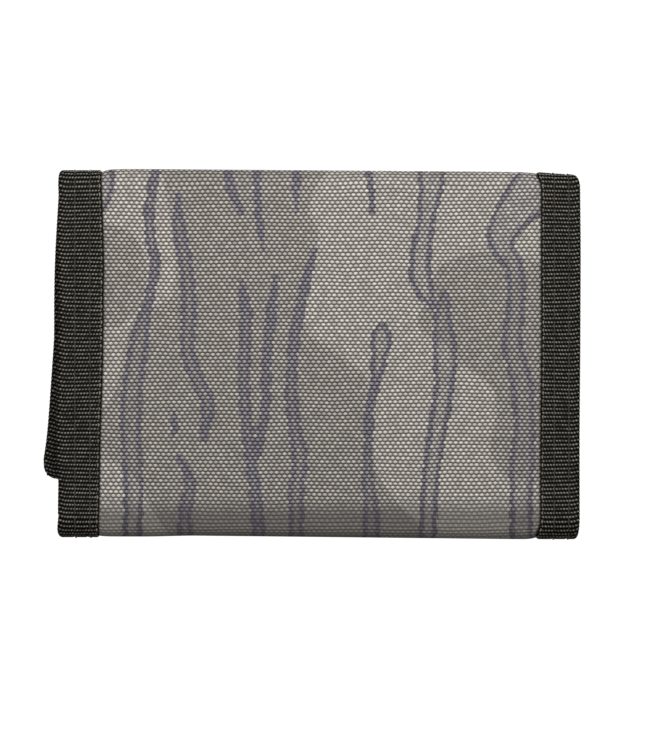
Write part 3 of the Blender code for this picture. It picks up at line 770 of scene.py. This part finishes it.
def cloth_swell(u, v):
    """How far the soft cloth stands out from the flat: full in the middle, held down by the tapes."""
    from_tape = from_tape_edge(u, v)
    clear = np.clip(from_tape, 0, None)
    rise = 1 - np.exp(-clear / 3.0) + np.clip(from_tape, -4, 0) * 0.04
    sharp = 1 - 0.6 * np.exp(-clear)
    wave = (0.10 * np.sin(u / 11.0 + v / 23.0) + 0.08 * np.sin(v / 9.0 - u / 31.0 + 1.0)
            + 0.06 * np.sin(u / 5.3 + v / 17.0 + 2.0))
    folds = PATH.spine_share(v)
    at_top, at_low = folds * (v > MIDDLE_V), folds * (v < MIDDLE_V)
    top = 0.62 - 0.0075 * u
    low = 0.50 + 0.011 * np.clip(u, -30, 50) + 0.22 * smooth((-30 - u) / 12)
    swell = rise * (0.30 * (1 - at_low) + wave * (1 - folds)) + sharp * (at_top * top + at_low * low)
    behind = 0.25 + 0.75 * smooth((v - PATH.bends[0][0]) / (PATH.bends[1][0] - PATH.bends[0][0]))
    pinch = 0.10 * np.exp(-(from_tape / 0.7) ** 2) * (1 - folds)
    under = smooth(-from_tape / 1.5) * np.minimum(fold_lift(u, v), 0)
    return swell * behind - pinch + under


def shell_piece(name, bodies, first, last, step=0.6, crease_step=0.35):
    """One run of the shell's cloth, finer where it bends."""
    step_along = crease_step if len(bodies) > 1 else step
    along = np.linspace(first, last, max(6, int((last - first) / step_along) + 1))
    u, v = np.meshgrid(np.linspace(-SHELL_HALF, SHELL_HALF, int(2 * HALF / step) + 1), along)
    spots, out = PATH.at(along)
    outward = np.pad(out, ((0, 0), (1, 0)))[:, None]
    middle = np.stack(np.broadcast_arrays(u + flap_spread(v), spots[:, :1], spots[:, 1:]), -1)
    middle = middle + outward * cloth_swell(u, v)[..., None]
    half = outward * CLOTH / 2
    from_fold = np.abs(v - FOLD_MIDDLE)
    # The last two fields place the painted shade over the bottom fold and its lighter middle.
    fields = {"ink": ink_distance(u, v), "patch": patch_field(u, v),
              "from_tape": from_tape_edge(u, v), "packed": smooth((13.5 - from_fold) / 6.5),
              "middle": smooth((8.0 - from_fold) / 4.0)}
    piece = closed_sheet(f"{name}_cloth", middle + half, middle - half, np.stack([u, v], -1),
                         CLOTH_PRINT, fields)
    node = f"{name}_shell" if len(bodies) == 1 else None
    return settle(piece, bodies, node, crease_ends(first, last))


def build_shell():
    {segment[0]: shell_piece(*segment) for segment in SEGMENTS}


# ---- Binding tape -----------------------------------------------------------------------

FOLD_DEPTH = 1.45      # between the middles of the tape's two legs where it runs over a fold
STITCH = 3.8           # the tapes' stitches, from one to the next
FINE_STITCH = 2.6      # the patches' and the pocket mouths' stitches
STITCH_T = np.linspace(0, 1, 9)
INSET = 1.5            # from a tape's end to its first stitch
SIDES = {-1: "left", 1: "right"}
TAPE_ENDS = {-1: (LEFT_LAP, (4.0, 7.6)), 1: (RIGHT_LAP, (2.4, 5.9))}   # lap, stitch rows
PAST_LOWER, PAST_FLAP = 1.4, 0.9       # how far the side tapes run on past the panels' free ends
TUCK = 1.6                             # how far an end tape runs in under the side tapes
X_AXIS, Z_AXIS = (1.0, 0.0, 0.0), (0.0, 0.0, 1.0)


def edge_wander(side, v):
    """How far the tape's outer edge and its inner edge stray inwards, in millimetres."""
    def bump(at, over):
        return np.exp(-((v - at) / over) ** 2)

    if side < 0:
        outer = (0.42 * bump(58, 17) + 0.42 * bump(80, 6) + 0.42 * bump(9, 6) - 0.2 * bump(1.5, 2.5)
                 + 0.16 * np.sin(v / 6.5) - 0.12)
        inner = (0.1 - 1.3 * np.clip((52 - v) / 50, 0, 1) - 0.5 * np.clip((v - 66) / 20, 0, 1)
                 + 0.9 * smooth((-v - 8) / 20) + 0.06 * np.sin(v / 5.0))
    else:
        outer = 0.10 * np.sin(v / 11.0 + 1.0) - 0.22 * bump(70, 14) + 0.15 * bump(30, 16) - 0.08
        inner = (-0.95 + 0.95 * bump(0, 2.6) + 0.95 * bump(87.5, 2.2) + 0.3 * bump(20, 25)
                 + 0.08 * np.sin(v / 13.0 + 2.0))
    return outer, inner


def end_rounding(side, v, free_ends, radius=3.4):
    """How far a tape's outer edge is drawn in at its folds and at its rounded free ends."""
    draw = (0.45 + 0.6 * (side > 0) * (v > MIDDLE_V)) * PATH.spine_share(v)
    for end in free_ends:
        near = np.clip(radius - np.abs(v - end), 0, radius)
        draw = draw + radius - np.sqrt(radius ** 2 - near ** 2)
    return draw


def tape_section(lap, depth, rows, corner=0.7):
    """The tape's middle line over a panel's edge: x inwards from the edge, depth, normal and how
    far round it each point lies, from the outer leg's free edge to the inner leg's free edge."""
    marks = [np.linspace(lap, corner, int(lap / 0.8) + 2), [lap - 0.15, lap - 0.4]]
    marks += [[row + off for off in (-0.45, -0.2, 0, 0.2, 0.45)] for row in rows]
    leg = np.unique(np.round(np.concatenate(marks), 3))[::-1]
    turn = [(math.sin(a), math.cos(a)) for a in np.linspace(0, math.pi / 2, 5)]
    edge = np.linspace(corner, depth - corner, max(2, int((depth - 2 * corner) / 0.6) + 1))[1:-1]
    points = [(x, 0.0, 0.0, -1.0) for x in leg if x > corner]
    points += [(corner * (1 - s), corner * (1 - c), -s, -c) for s, c in turn]
    points += [(0.0, d, -1.0, 0.0) for d in edge]
    points += [(corner * (1 - c), depth - corner + corner * s, -c, s) for s, c in turn]
    points += [(x, depth, 0.0, 1.0) for x in np.linspace(corner, lap, 8)[1:]]
    x_in, down, n_in, n_depth = np.array(points).T
    steps = np.hypot(np.diff(x_in), np.diff(down))
    return x_in, down, n_in, n_depth, np.concatenate([[0], np.cumsum(steps)])


def rounded(distance, over, least):
    """The share of its full thickness that a thin body has at a distance from its rim."""
    return np.sqrt(np.clip(distance / over, least, 1))


def tape_body(name, middle, normal, w, phase, from_end, rows, ribs, groove_depth):
    """A tape's closed body round its middle surface, with ribs and stitch rows pressed in.

    w runs across the tape and phase along it. rows are the stitch rows' places across the tape,
    ribs the ribs' height and their mean level.
    """
    thick = TAPE / 2 * rounded(np.minimum(w, w.max() - w), 0.35, 0.06)
    thick = thick * rounded(from_end, 0.3, 0.1)[:, None]
    rib = np.abs(np.sin(phase * math.pi / RIB)) ** 0.8
    groove = sum(np.exp(-((w - row) / 0.28) ** 2) for row in rows)
    relief = ribs[0] * (rib - ribs[1]) * (thick / (TAPE / 2)) - groove_depth * groove
    uv = np.stack(np.broadcast_arrays(w, phase), -1)
    return closed_sheet(name, middle + normal * (thick + relief)[..., None],
                        middle - normal * thick[..., None], uv, TAPE_BLACK)


def side_tape(name, side, first, last, free_ends, depth):
    """One run of tape folded over the shell's edge."""
    lap, rows = TAPE_ENDS[side]
    section = tape_section(lap, depth, rows)
    w = section[-1]
    along = np.linspace(first, last, max(8, int((last - first) / (RIB / 5)) + 1))
    edge_in, inner_in = (stray[:, None] for stray in edge_wander(side, along))
    edge_in = edge_in + end_rounding(side, along, free_ends)[:, None]
    spots, out = (pair[:, None] for pair in PATH.at(along))
    x_in, inwards, n_in, n_depth = (np.broadcast_to(part, (len(along), len(w)))
                                    for part in section[:4])
    share = np.clip(x_in / lap, 0, 1)
    x_in = x_in + edge_in * (1 - share) + inner_in * share
    x = side * (HALF - TAPE / 2 - x_in) + flap_spread(along)[:, None]
    off = TAPE_OUT - inwards + fold_lift(x, along[:, None])
    middle = np.concatenate([x[..., None], spots + out * off[..., None]], -1)
    normal = np.concatenate([-side * n_in[..., None], -n_depth[..., None] * out], -1)
    turned = np.clip((w - (lap - 1.6)) / 1.6, 0, 3)
    phase = along[:, None] - 0.35 * turned ** 1.3 + 0.10 * np.sin(along[:, None] / 7.0 + w / 4.0)
    from_end = np.min([np.full(len(along), 9.0), *(np.abs(along - end) for end in free_ends)], axis=0)
    return tape_body(name, middle, normal, w, phase, from_end, [lap - row for row in rows], (0.13, 0.6),
                     0.13)


def stitch_lift(t):
    """A stitch's height over the tape: it rises out of it, lies on it and dips back."""
    return TAPE / 2 - 0.02 + 0.16 * np.sin(math.pi * t) ** 0.45 - 0.14 * ((t < 0.01) | (t > 0.99))


def stitch_row(side, row, first, last, depth=0.0):
    """Paths of one row's stitches on the outer leg, or on the inner leg at the given depth."""
    paths = []
    facing = -1 if depth else 1
    count = max(1, int(round((last - first) / STITCH)))
    for k in range(count):
        v = first + (last - first) / count * (k + 0.06 + 0.88 * STITCH_T)
        spots, out = PATH.at(v)
        skew = 0.07 * math.sin(3.1 * k + row) * (STITCH_T - 0.5)
        x = side * (HALF - TAPE / 2 - row) + flap_spread(v) + skew
        off = TAPE_OUT - depth + facing * stitch_lift(STITCH_T) + fold_lift(x, v)
        paths.append((np.column_stack([x, spots + out * off[:, None]]), X_AXIS))
    return paths


def tape_run(side, name, bodies, first, last):
    """One run of a side tape with its stitches, two rows on each leg."""
    label = f"{name}_{SIDES[side]}"
    node = f"{label}_binding" if len(bodies) == 1 else None
    ends = crease_ends(first, last, FOLD_DEPTH)
    depth = FOLD_DEPTH
    if name in PANELS:
        low, high = layout(node)
        depth = high[1] - low[1] - TAPE
    free_ends, stitched = [], [first, last]
    if name == "lower":
        first -= PAST_LOWER
        free_ends, stitched = [first], [first + INSET, last]
    if name == "flap":
        last += PAST_FLAP
        free_ends, stitched = [last], [first, last - INSET]
    tape = side_tape(f"{label}_tape", side, first, last, free_ends, depth)
    settle(tape, bodies, node, ends)
    paths = [path for row in TAPE_ENDS[side][1] for leg in (0.0, depth)
             for path in stitch_row(side, row, *stitched, leg)]
    settle(tubes(f"{label}_stitches", paths, 0.13, THREAD), bodies, ends=ends)
    return tape


def build_side_tapes():
    pieces = {side: {} for side in SIDES}
    for segment in SEGMENTS:
        for side in SIDES:
            pieces[side][segment[0]] = tape_run(side, *segment)


# ---- Inner pieces -----------------------------------------------------------------------

def box_grid(low, high, columns, rows):
    """A grid of x and z over a box's face, and each spot's distance in from the face's rim."""
    x, z = np.meshgrid(np.linspace(low[0], high[0], columns), np.linspace(low[2], high[2], rows))
    return x, z, np.min([x - low[0], high[0] - x, z - low[2], high[2] - z], axis=0)


def plate_sheet(name, x, front, back, z, material, uv=None):
    """A closed body between two surfaces over a grid of x and z, each given by its y."""
    faces = [np.stack(np.broadcast_arrays(x, y, z), -1) for y in (front, back)]
    return closed_sheet(name, *faces, np.stack(uv or (x, z), -1), material)


def flat_sheet(name, node, body, slot, material, wave, facing, step=1.2):
    """A thin sewn sheet in the place of a flat CAD solid, with a soft rim and faint waves."""
    low, high = layout(node)
    if body == "closure_flap":
        low[0], high[0] = (corner[0] for corner in layout("front_lining"))
    columns, rows = (max(4, int((high[axis] - low[axis]) / step) + 1) for axis in (0, 2))
    x, z, rim = box_grid(low, high, columns, rows)
    ruffle = wave * (np.sin(x / 7.3 + z / 19.0) * np.sin(z / 8.1 - x / 23.0 + 0.7)
                     + 0.4 * np.sin(x / 3.1 + z / 5.7))
    half = facing * (high[1] - low[1]) / 2 * rounded(rim, 0.5, 0.15)
    middle = (low[1] + high[1]) / 2 + ruffle * np.clip(rim / 3.0, 0, 1)
    shown_x = x + flap_spread(PATH.end + FLAP_LOW - z) if body == "closure_flap" else x
    piece = plate_sheet(name, shown_x, middle + half, middle - half, z, material, (x, z))
    settle(piece, [body], node)


def seam(name, body, ends, y, facing, pitch, radius=0.13):
    """Rows of stitches, each from one (x, z) to another, standing out of a surface at y."""
    paths = []
    t = np.linspace(0, 1, 7)
    lift = facing * (0.10 * np.sin(math.pi * t) ** 0.5 - 0.03)
    for (x0, z0), (x1, z1) in ends:
        across = Z_AXIS if abs(x1 - x0) > abs(z1 - z0) else X_AXIS
        count = max(1, int(round(math.hypot(x1 - x0, z1 - z0) / pitch)))
        for k in range(count):
            share = (k + 0.08 + 0.84 * t) / count
            path = np.column_stack([x0 + (x1 - x0) * share, y + lift, z0 + (z1 - z0) * share])
            paths.append((path, across))
    settle(tubes(name, paths, radius, THREAD), [body])


def folded_tape(name, node, body, edge_axis, edge_sign, rows=(2.2, 5.4)):
    """Ribbed tape folded over a straight edge: both legs, the turn and its stitches."""
    low, high = layout(node)
    if body == "closure_flap":
        low[0], high[0] = low[0] - SPREAD_EXTRA, high[0] - SPREAD_EXTRA
    run_axis = 2 - edge_axis
    edge = (high if edge_sign > 0 else low)[edge_axis]
    lap, depth = high[edge_axis] - low[edge_axis] - TAPE / 2, high[1] - low[1] - TAPE
    tuck = TUCK if run_axis == 0 else 0.25
    run = np.linspace(low[run_axis] - tuck, high[run_axis] + tuck,
                      int((high[run_axis] - low[run_axis]) / (RIB / 5)) + 1)[:, None]
    from_end = np.minimum(run - run[0], run[-1] - run)
    x_in, inwards, n_in, n_depth, w = tape_section(lap, depth, rows)
    phase = run + 0.10 * np.sin(run / 7.0 + w / 4.0)
    corner = 0.5 - np.sqrt(0.25 - np.clip(0.5 - from_end, 0, 0.5) ** 2)
    x_in = x_in + corner * (1 - np.clip(x_in / lap, 0, 1))
    pressed = 1 - 0.30 * smooth((tuck - from_end) / 0.8 + 0.3) * (tuck > 1)
    middle, normal = np.zeros(phase.shape + (3,)), np.zeros(phase.shape + (3,))
    middle[..., edge_axis] = edge - edge_sign * (TAPE / 2 + x_in)
    middle[..., 1] = low[1] + TAPE / 2 + depth / 2 + (inwards - depth / 2) * pressed
    middle[..., run_axis] = run
    normal[..., edge_axis], normal[..., 1] = -edge_sign * n_in, n_depth
    pressed_rows = [at for row in rows for at in (lap - row, w.max() - lap + row)]
    piece = tape_body(name, middle, normal, w, phase, from_end[:, 0], pressed_rows, (0.10, 0.9), 0.08)
    settle(piece, [body], node)
    first, last = low[run_axis] + INSET, high[run_axis] - INSET
    for face, y, facing in (("low", low[1], -1), ("high", high[1], 1)):
        ends = [[(first, level), (last, level)] for level in
                (edge - edge_sign * (TAPE / 2 + row) for row in rows)]
        if run_axis == 2:
            ends = [[spot[::-1] for spot in pair] for pair in ends]
        seam(f"{name}_stitches_{face}", body, ends, y, facing, STITCH, 0.15)


def mouth_tape(node, pitch=0.7):
    """A narrow flat tape along a pocket's mouth, with cross ribs and a row of stitches."""
    low, high = layout(node)
    x, z, _ = box_grid(low, high, int((high[0] - low[0]) / (pitch / 5)) + 1, 12)
    middle, half = (low[1] + high[1]) / 2, (low[1] - high[1]) / 2
    rib = np.abs(np.sin(x * math.pi / pitch)) ** 0.8
    front = half * rounded(np.minimum(z - low[2], high[2] - z), 0.3, 0.1) * (0.55 + 0.45 * rib)
    piece = plate_sheet(f"{node}_tape", x, middle + front, middle - half * 0.9, z, TAPE_BLACK,
                        (z, x * RIB / pitch))
    settle(piece, ["lower_panel"], node)
    level = low[2] + 1.1
    seam(f"{node}_tape_stitches", "lower_panel", [((low[0] + 1, level), (high[0] - 1, level))],
         low[1], -1, FINE_STITCH)


def zip_teeth(node, up, pitch=1.3, wire=0.21):
    """One side of a coil zip: a row of rounded loops with their heads near the zip's middle."""
    low, high = layout(node)
    root, head = (high[2] - 0.25, low[2] - 0.42) if up else (low[2] + 0.25, high[2] + 0.42)
    start = low[0] + 0.4 + (0.0 if up else pitch / 2)
    y_low, y_high = low[1] + wire, high[1] - wire - 0.08
    middle_y, radius = (y_low + y_high) / 2, (y_high - y_low) / 2
    reach = (-1 if up else 1) * radius * 0.8
    paths = []
    for x in np.arange(start, high[0] - 0.3, pitch):
        bend = [(x + 0.16 * (a / math.pi - 0.5), middle_y + radius * math.cos(a),
                 head + reach * (math.sin(a) - 1)) for a in np.linspace(0, math.pi, 7)]
        paths.append(([(x - 0.16, y_high, root), *bend, (x + 0.16, y_low, root)], X_AXIS))
    settle(tubes(f"{node}_teeth", paths, wire, COIL, sides=8), ["front_panel"], node)


def patch_seam(name, body, low, high, y, facing, edge):
    """Stitches round a patch, in from its rim by `edge`."""
    x0, x1, z0, z1 = low[0] + edge, high[0] - edge, low[2] + edge, high[2] - edge
    corners = [(x0, z0), (x1, z0), (x1, z1), (x0, z1), (x0, z0)]
    seam(f"{name}_stitches", body, zip(corners, corners[1:]), y, facing, FINE_STITCH)


def hook_field(node, body, pitch=1.5):
    """The hook half of the closure: a thin base with rows of small hooks facing the loops."""
    low, high = layout(node)
    base_y = low[1] + 0.30
    x, z, rim = box_grid(low, high, 61, 14)
    base = plate_sheet("hook_base", x, base_y + 0.12 * (1 - rounded(rim, 0.5, 0.1)), high[1], z, HOOK)
    shape = [(0.0, 0.05), (0.0, -0.16), (0.10, -0.26), (0.24, -0.26), (0.32, -0.15)]
    paths = []
    for number, level in enumerate(np.arange(low[2] + 2.2, high[2] - 2.0, pitch)):
        lean, offset = (1, pitch / 2) if number % 2 else (-1, 0.0)
        for column in np.arange(low[0] + 2.2 + offset, high[0] - 2.0, pitch):
            paths.append(([(column, base_y + dy, level + lean * dz) for dz, dy in shape], X_AXIS))
    settle(base, [body], node)
    settle(tubes("hook_rows", paths, 0.075, HOOK, sides=5), [body])
    patch_seam(node, body, low, high, base_y, -1, 1.1)


def loop_field(node, body, step=0.45, pitch=0.95):
    """The loop half: a knitted base under a pile of small untidy loops."""
    low, high = layout(node)
    rng = np.random.default_rng(SEED + 5)
    x, z, rim = box_grid(low, high, *(int((high[axis] - low[axis]) / step) + 1 for axis in (0, 2)))
    rough = rng.uniform(-0.09, 0.09, x.shape)
    top = low[1] + np.where(rim < 1.6, 0.30 + 0.02 * rough, 0.55 + rough) - 0.12 * (rim < 0.2)
    base = plate_sheet("loop_base", x, top, low[1], z, PILE)
    arc = np.linspace(-0.15, math.pi + 0.15, 6)
    paths = []
    for cx in np.arange(low[0] + 2.0, high[0] - 1.6, pitch):
        for cz in np.arange(low[2] + 2.0, high[2] - 1.6, pitch):
            px, pz = cx + rng.uniform(-0.35, 0.35), cz + rng.uniform(-0.35, 0.35)
            heading, reach = rng.uniform(0, 2 * math.pi), rng.uniform(0.3, 0.55)
            rise = rng.uniform(0.28, 0.42)
            way_x, way_z = math.cos(heading), math.sin(heading)
            points = np.column_stack([px + reach * np.cos(arc) * way_x,
                                      low[1] + 0.52 + rise * np.sin(arc),
                                      pz + reach * np.cos(arc) * way_z])
            paths.append((points, (-way_z, 0.0, way_x)))
    settle(base, [body], node)
    settle(tubes("loop_pile", paths, 0.055, PILE, sides=4), [body])
    patch_seam(node, body, low, high, low[1] + 0.32, 1, 0.9)


SHEETS = [
    # node, piece, body, slot, material, waves, side that shows
    ("front_lining", "cloth", "front_panel", "lining_nylon", LINING, 0.05, 1),
    ("lower_lining", "cloth", "lower_panel", "lining_nylon", LINING, 0.05, -1),
    ("flap_lining", "cloth", "closure_flap", "lining_nylon", LINING, 0.05, -1),
    ("bill_divider", "cloth", "front_panel", "lining_nylon", LINING, 0.08, 1),
    ("coin_pocket_wall", "cloth", "front_panel", "pocket_nylon", POCKET, 0.05, 1),
    ("coin_pocket_top_strip", "cloth", "front_panel", "pocket_nylon", POCKET, 0.02, 1),
    ("back_card_slot", "cloth", "lower_panel", "pocket_nylon", POCKET, 0.03, -1),
    ("middle_card_slot", "cloth", "lower_panel", "pocket_nylon", POCKET, 0.03, -1),
    ("id_window", "sheet", "lower_panel", "clear_vinyl", VINYL, 0.03, -1),
    ("zip_tape_lower", "cloth", "front_panel", "zip_tape", ZIP_TAPE, 0.01, -1),
    ("zip_tape_upper", "cloth", "front_panel", "zip_tape", ZIP_TAPE, 0.01, -1),
]


def build_inner_pieces():
    for node, word, *rest in SHEETS:
        flat_sheet(f"{node}_{word}", node, *rest)
    wall, strip = layout("coin_pocket_wall"), layout("coin_pocket_top_strip")
    rows = [((wall[0][0] + 1, z), (wall[1][0] - 1, z)) for z in (wall[1][2] - 1.3, strip[0][2] + 1.3)]
    seam("coin_pocket_stitches", "front_panel", rows, wall[1][1], 1, 2.4)
    zip_teeth("zip_coil_lower", False)
    zip_teeth("zip_coil_upper", True)
    for node in ("back_card_slot_trim", "middle_card_slot_trim", "id_window_trim"):
        mouth_tape(node)
    folded_tape("lower_end_tape", "lower_end_binding", "lower_panel", 2, 1)
    folded_tape("flap_end_tape", "flap_end_binding", "closure_flap", 2, -1)
    folded_tape("bill_mouth_tape", "bill_mouth_binding", "front_panel", 0, -1)
    hook_field("hook_patch", "closure_flap")
    loop_field("loop_patch", "lower_panel")
    build_metal()


# ---- Zip metal ----------------------------------------------------------------------------

def plate(outline, y0, y1, bevel, hole=None):
    """Points and arrays of faces of a plate with soft edges; outline and hole are (x, z) lists.

    Both run from X towards Z. A hole has as many spots as the outline, at the same bearings.
    """
    outline = np.asarray(outline, float)
    middle = np.mean(outline if hole is None else hole, axis=0)

    def grown(ring, amount):
        arms = ring - middle
        away = np.maximum(np.linalg.norm(arms, axis=1, keepdims=True), 2 * bevel)
        return middle + arms * (1 + amount / away)

    rings = [(grown(outline, -bevel), y0), (outline, y0 + bevel), (outline, y1 - bevel),
             (grown(outline, -bevel), y1)]
    if hole is not None:
        hole = np.asarray(hole, float)
        rings += [(grown(hole, bevel), y1), (hole, y1 - bevel), (hole, y0 + bevel),
                  (grown(hole, bevel), y0)]
    points = np.array([(x, y, z) for ring, y in rings for x, z in ring])
    index = np.arange(len(points)).reshape(len(rings), -1)
    turned = np.roll(index, -1, axis=1)
    walls = np.stack([index, np.roll(index, -1, axis=0), np.roll(turned, -1, axis=0), turned], -1)
    if hole is None:
        return points, [walls[:-1].reshape(-1, 4), index[:1], index[-1:, ::-1]]
    return points, [walls.reshape(-1, 4)]


def metal_piece(name, node, body, parts, material):
    """One object of several small solids that stands for a CAD node."""
    starts = np.cumsum([0] + [len(points) for points, _ in parts])
    points = np.concatenate([points for points, _ in parts])
    faces = [some + start for start, (_, face_sets) in zip(starts, parts) for some in face_sets]
    mesh = build_mesh(name, points, faces, points[:, ::2])
    settle(make_object(name, mesh, material, sharp_angle=40), [body], node)


def turning(x, z, radius, angles):
    """Spots round (x, z) at the given angles."""
    return [(x + radius * math.cos(a), z + radius * math.sin(a)) for a in angles]


def tapered(low, high, share, corner, steps=5):
    """A box's outline over x and z with round corners; its high end has a share of its width."""
    middle_z, half = (low[2] + high[2]) / 2, (high[2] - low[2]) / 2
    x0, x1 = low[0] + corner, high[0] - corner
    spots = []
    for turn, (x, up) in enumerate(((x1, half * share), (x0, half), (x0, -half), (x1, -half * share))):
        spots += turning(x, middle_z + up - math.copysign(corner, up), corner,
                         [math.pi / 2 * (turn + k / steps) for k in range(steps + 1)])
    return spots


def pull_parts(hub_x, hub_z, low, high, eye=0.98):
    """A flat tab with round ends, turning on its eye at one end, with finger ridges."""
    half = (high[0] - low[0]) / 2
    way = 1 if high[2] - hub_z > hub_z - low[2] else -1
    tip = max(high[2] - hub_z, hub_z - low[2]) - half
    waist = [(a, half - 0.35 * math.sin(math.pi * a / tip)) for a in np.linspace(0, tip, 9)[1:-1]]
    quarter = math.pi / 2
    shape = turning(0, 0, half, np.linspace(quarter, 3 * quarter, 13)) + [(a, -b) for a, b in waist]
    shape += turning(tip, 0, half, np.linspace(-quarter, quarter, 13)) + waist[::-1]
    outline = [(hub_x + across * way, hub_z + along * way) for along, across in shape[::-1]]
    hole = turning(hub_x, hub_z, eye, [math.atan2(z - hub_z, x - hub_x) for x, z in outline])
    parts = [plate(outline, low[1] + 0.04, high[1] - 0.12, 0.1, hole)]
    for k in range(5):
        z = hub_z + (tip + 0.4 - 1.15 * k) * way
        ridge = [(hub_x + (half - 0.75) * a, z + 0.27 * b) for a, b in
                 ((-1, -0.5), (-0.92, -1), (0.92, -1), (1, -0.5), (1, 0.5), (0.92, 1), (-0.92, 1),
                  (-1, 0.5))]
        parts.append(plate(ridge, high[1] - 0.32, high[1], 0.07))
    return parts


def build_metal():
    low, high = layout("zip_slider")
    pull_low, pull_high = layout("zip_pull")
    hub_x, middle_z = (low[0] + high[0]) / 2, (low[2] + high[2]) / 2
    top, post_top = pull_low[1] - 0.12, high[1]
    wing = tapered(low, high, 0.72, 0.9)
    around = np.linspace(0, 2 * math.pi, 24, endpoint=False)
    parts = [plate(wing, low[1], low[1] + 0.5, 0.12), plate(wing, top - 0.72, top, 0.2),
             plate(turning(hub_x, middle_z, 0.75, around), top - 0.1, post_top - 0.3, 0.08),
             plate(turning(hub_x, middle_z, 1.15, around), post_top - 0.42, post_top, 0.14)]
    metal_piece("zip_slider_body", "zip_slider", "zip_slider", parts, METAL)
    metal_piece("zip_pull_tab", "zip_pull", "zip_pull",
                pull_parts(hub_x, middle_z, pull_low, pull_high), PULL)
    for node in ("zip_stop_left", "zip_stop_right"):
        low, high = layout(node)
        crimp = plate(tapered(low, high, 1.0, 0.35, 4), low[1], high[1], 0.22)
        metal_piece(f"{node}_crimp", node, "front_panel", [crimp], METAL)


# ---- Stage ------------------------------------------------------------------------------

FLOOR_Z = -0.12            # metres, low enough for the lower panel to hang open over it
SKY = (0.20, 0.17)         # the room's light from below and from above
BACKDROP = 1.05            # the background's brightness
LAMPS = [
    # name, spot and width in metres, watts
    ("key", (-0.02, -0.33, 0.20), 0.16, 0.99),
    ("fill", (0.60, -0.60, 0.30), 0.6, 1.4),
    ("back", (0.15, 0.85, 0.35), 0.6, 6.4),
]
LIT = (0, 6, 44)           # where the lamps point, in the layout


def build_floor():
    bpy.ops.mesh.primitive_plane_add(size=8.0, location=(0, 0, FLOOR_Z))
    floor = bpy.context.active_object
    floor.name = "floor"
    pale = Shader("pale_floor", 0.9)
    grain = pale.noise(add_node(pale.tree, "TexCoord", "Object"), 90.0, 3.0)
    pale.set("Base Color", pale.mix(grain, (0.22, 0.22, 0.22), (0.30, 0.30, 0.30)))
    floor.data.materials.append(pale.material)
    floor.visible_camera = False
    floor.visible_diffuse = False


def build_light():
    world = bpy.data.worlds.new("studio")
    world.use_nodes = True
    bpy.context.scene.world = world
    tree = world.node_tree
    facing = add_node(tree, "TexCoord", "Generated")
    sky = add_node(tree, "SeparateXYZ", "Z", {0: facing}).scale(-0.35, 0.5, *SKY)
    seen = add_node(tree, "LightPath", "Is Camera Ray")
    background = tree.nodes["Background"]
    attach(background.inputs["Strength"], add_node(tree, "Mix", 0, {0: seen, 2: sky, 3: BACKDROP}))
    background.inputs["Color"].default_value = (1, 1, 1, 1)

    target = Vector(place(LIT))
    for name, spot, size, energy in LAMPS:
        lamp = bpy.data.lights.new(name, "AREA")
        lamp.size = size
        lamp.energy = energy
        holder = bpy.data.objects.new(name, lamp)
        holder.location = spot
        holder.rotation_euler = (target - holder.location).to_track_quat("-Z", "Y").to_euler()
        holder.visible_camera = False
        bpy.context.scene.collection.objects.link(holder)
    bpy.context.scene.view_settings.view_transform = "Standard"


def build_camera(distance=1.2, across=0.15535):
    """Square on to the front panel, a little low and to the right of its middle."""
    data = bpy.data.cameras.new("camera")
    data.sensor_fit = "HORIZONTAL"
    data.sensor_width = 36.0
    data.lens = data.sensor_width * distance / across
    data.clip_start = 0.01
    camera = bpy.data.objects.new("camera", data)
    camera.location = Vector(place((1.55, 0.0, 39.1))) + Vector((0, -distance, 0))
    camera.rotation_euler = (math.pi / 2, 0, 0)
    bpy.context.scene.collection.objects.link(camera)
    bpy.context.scene.camera = camera


build_camera()
build_floor()
build_light()
build_shell()
build_side_tapes()
build_inner_pieces()
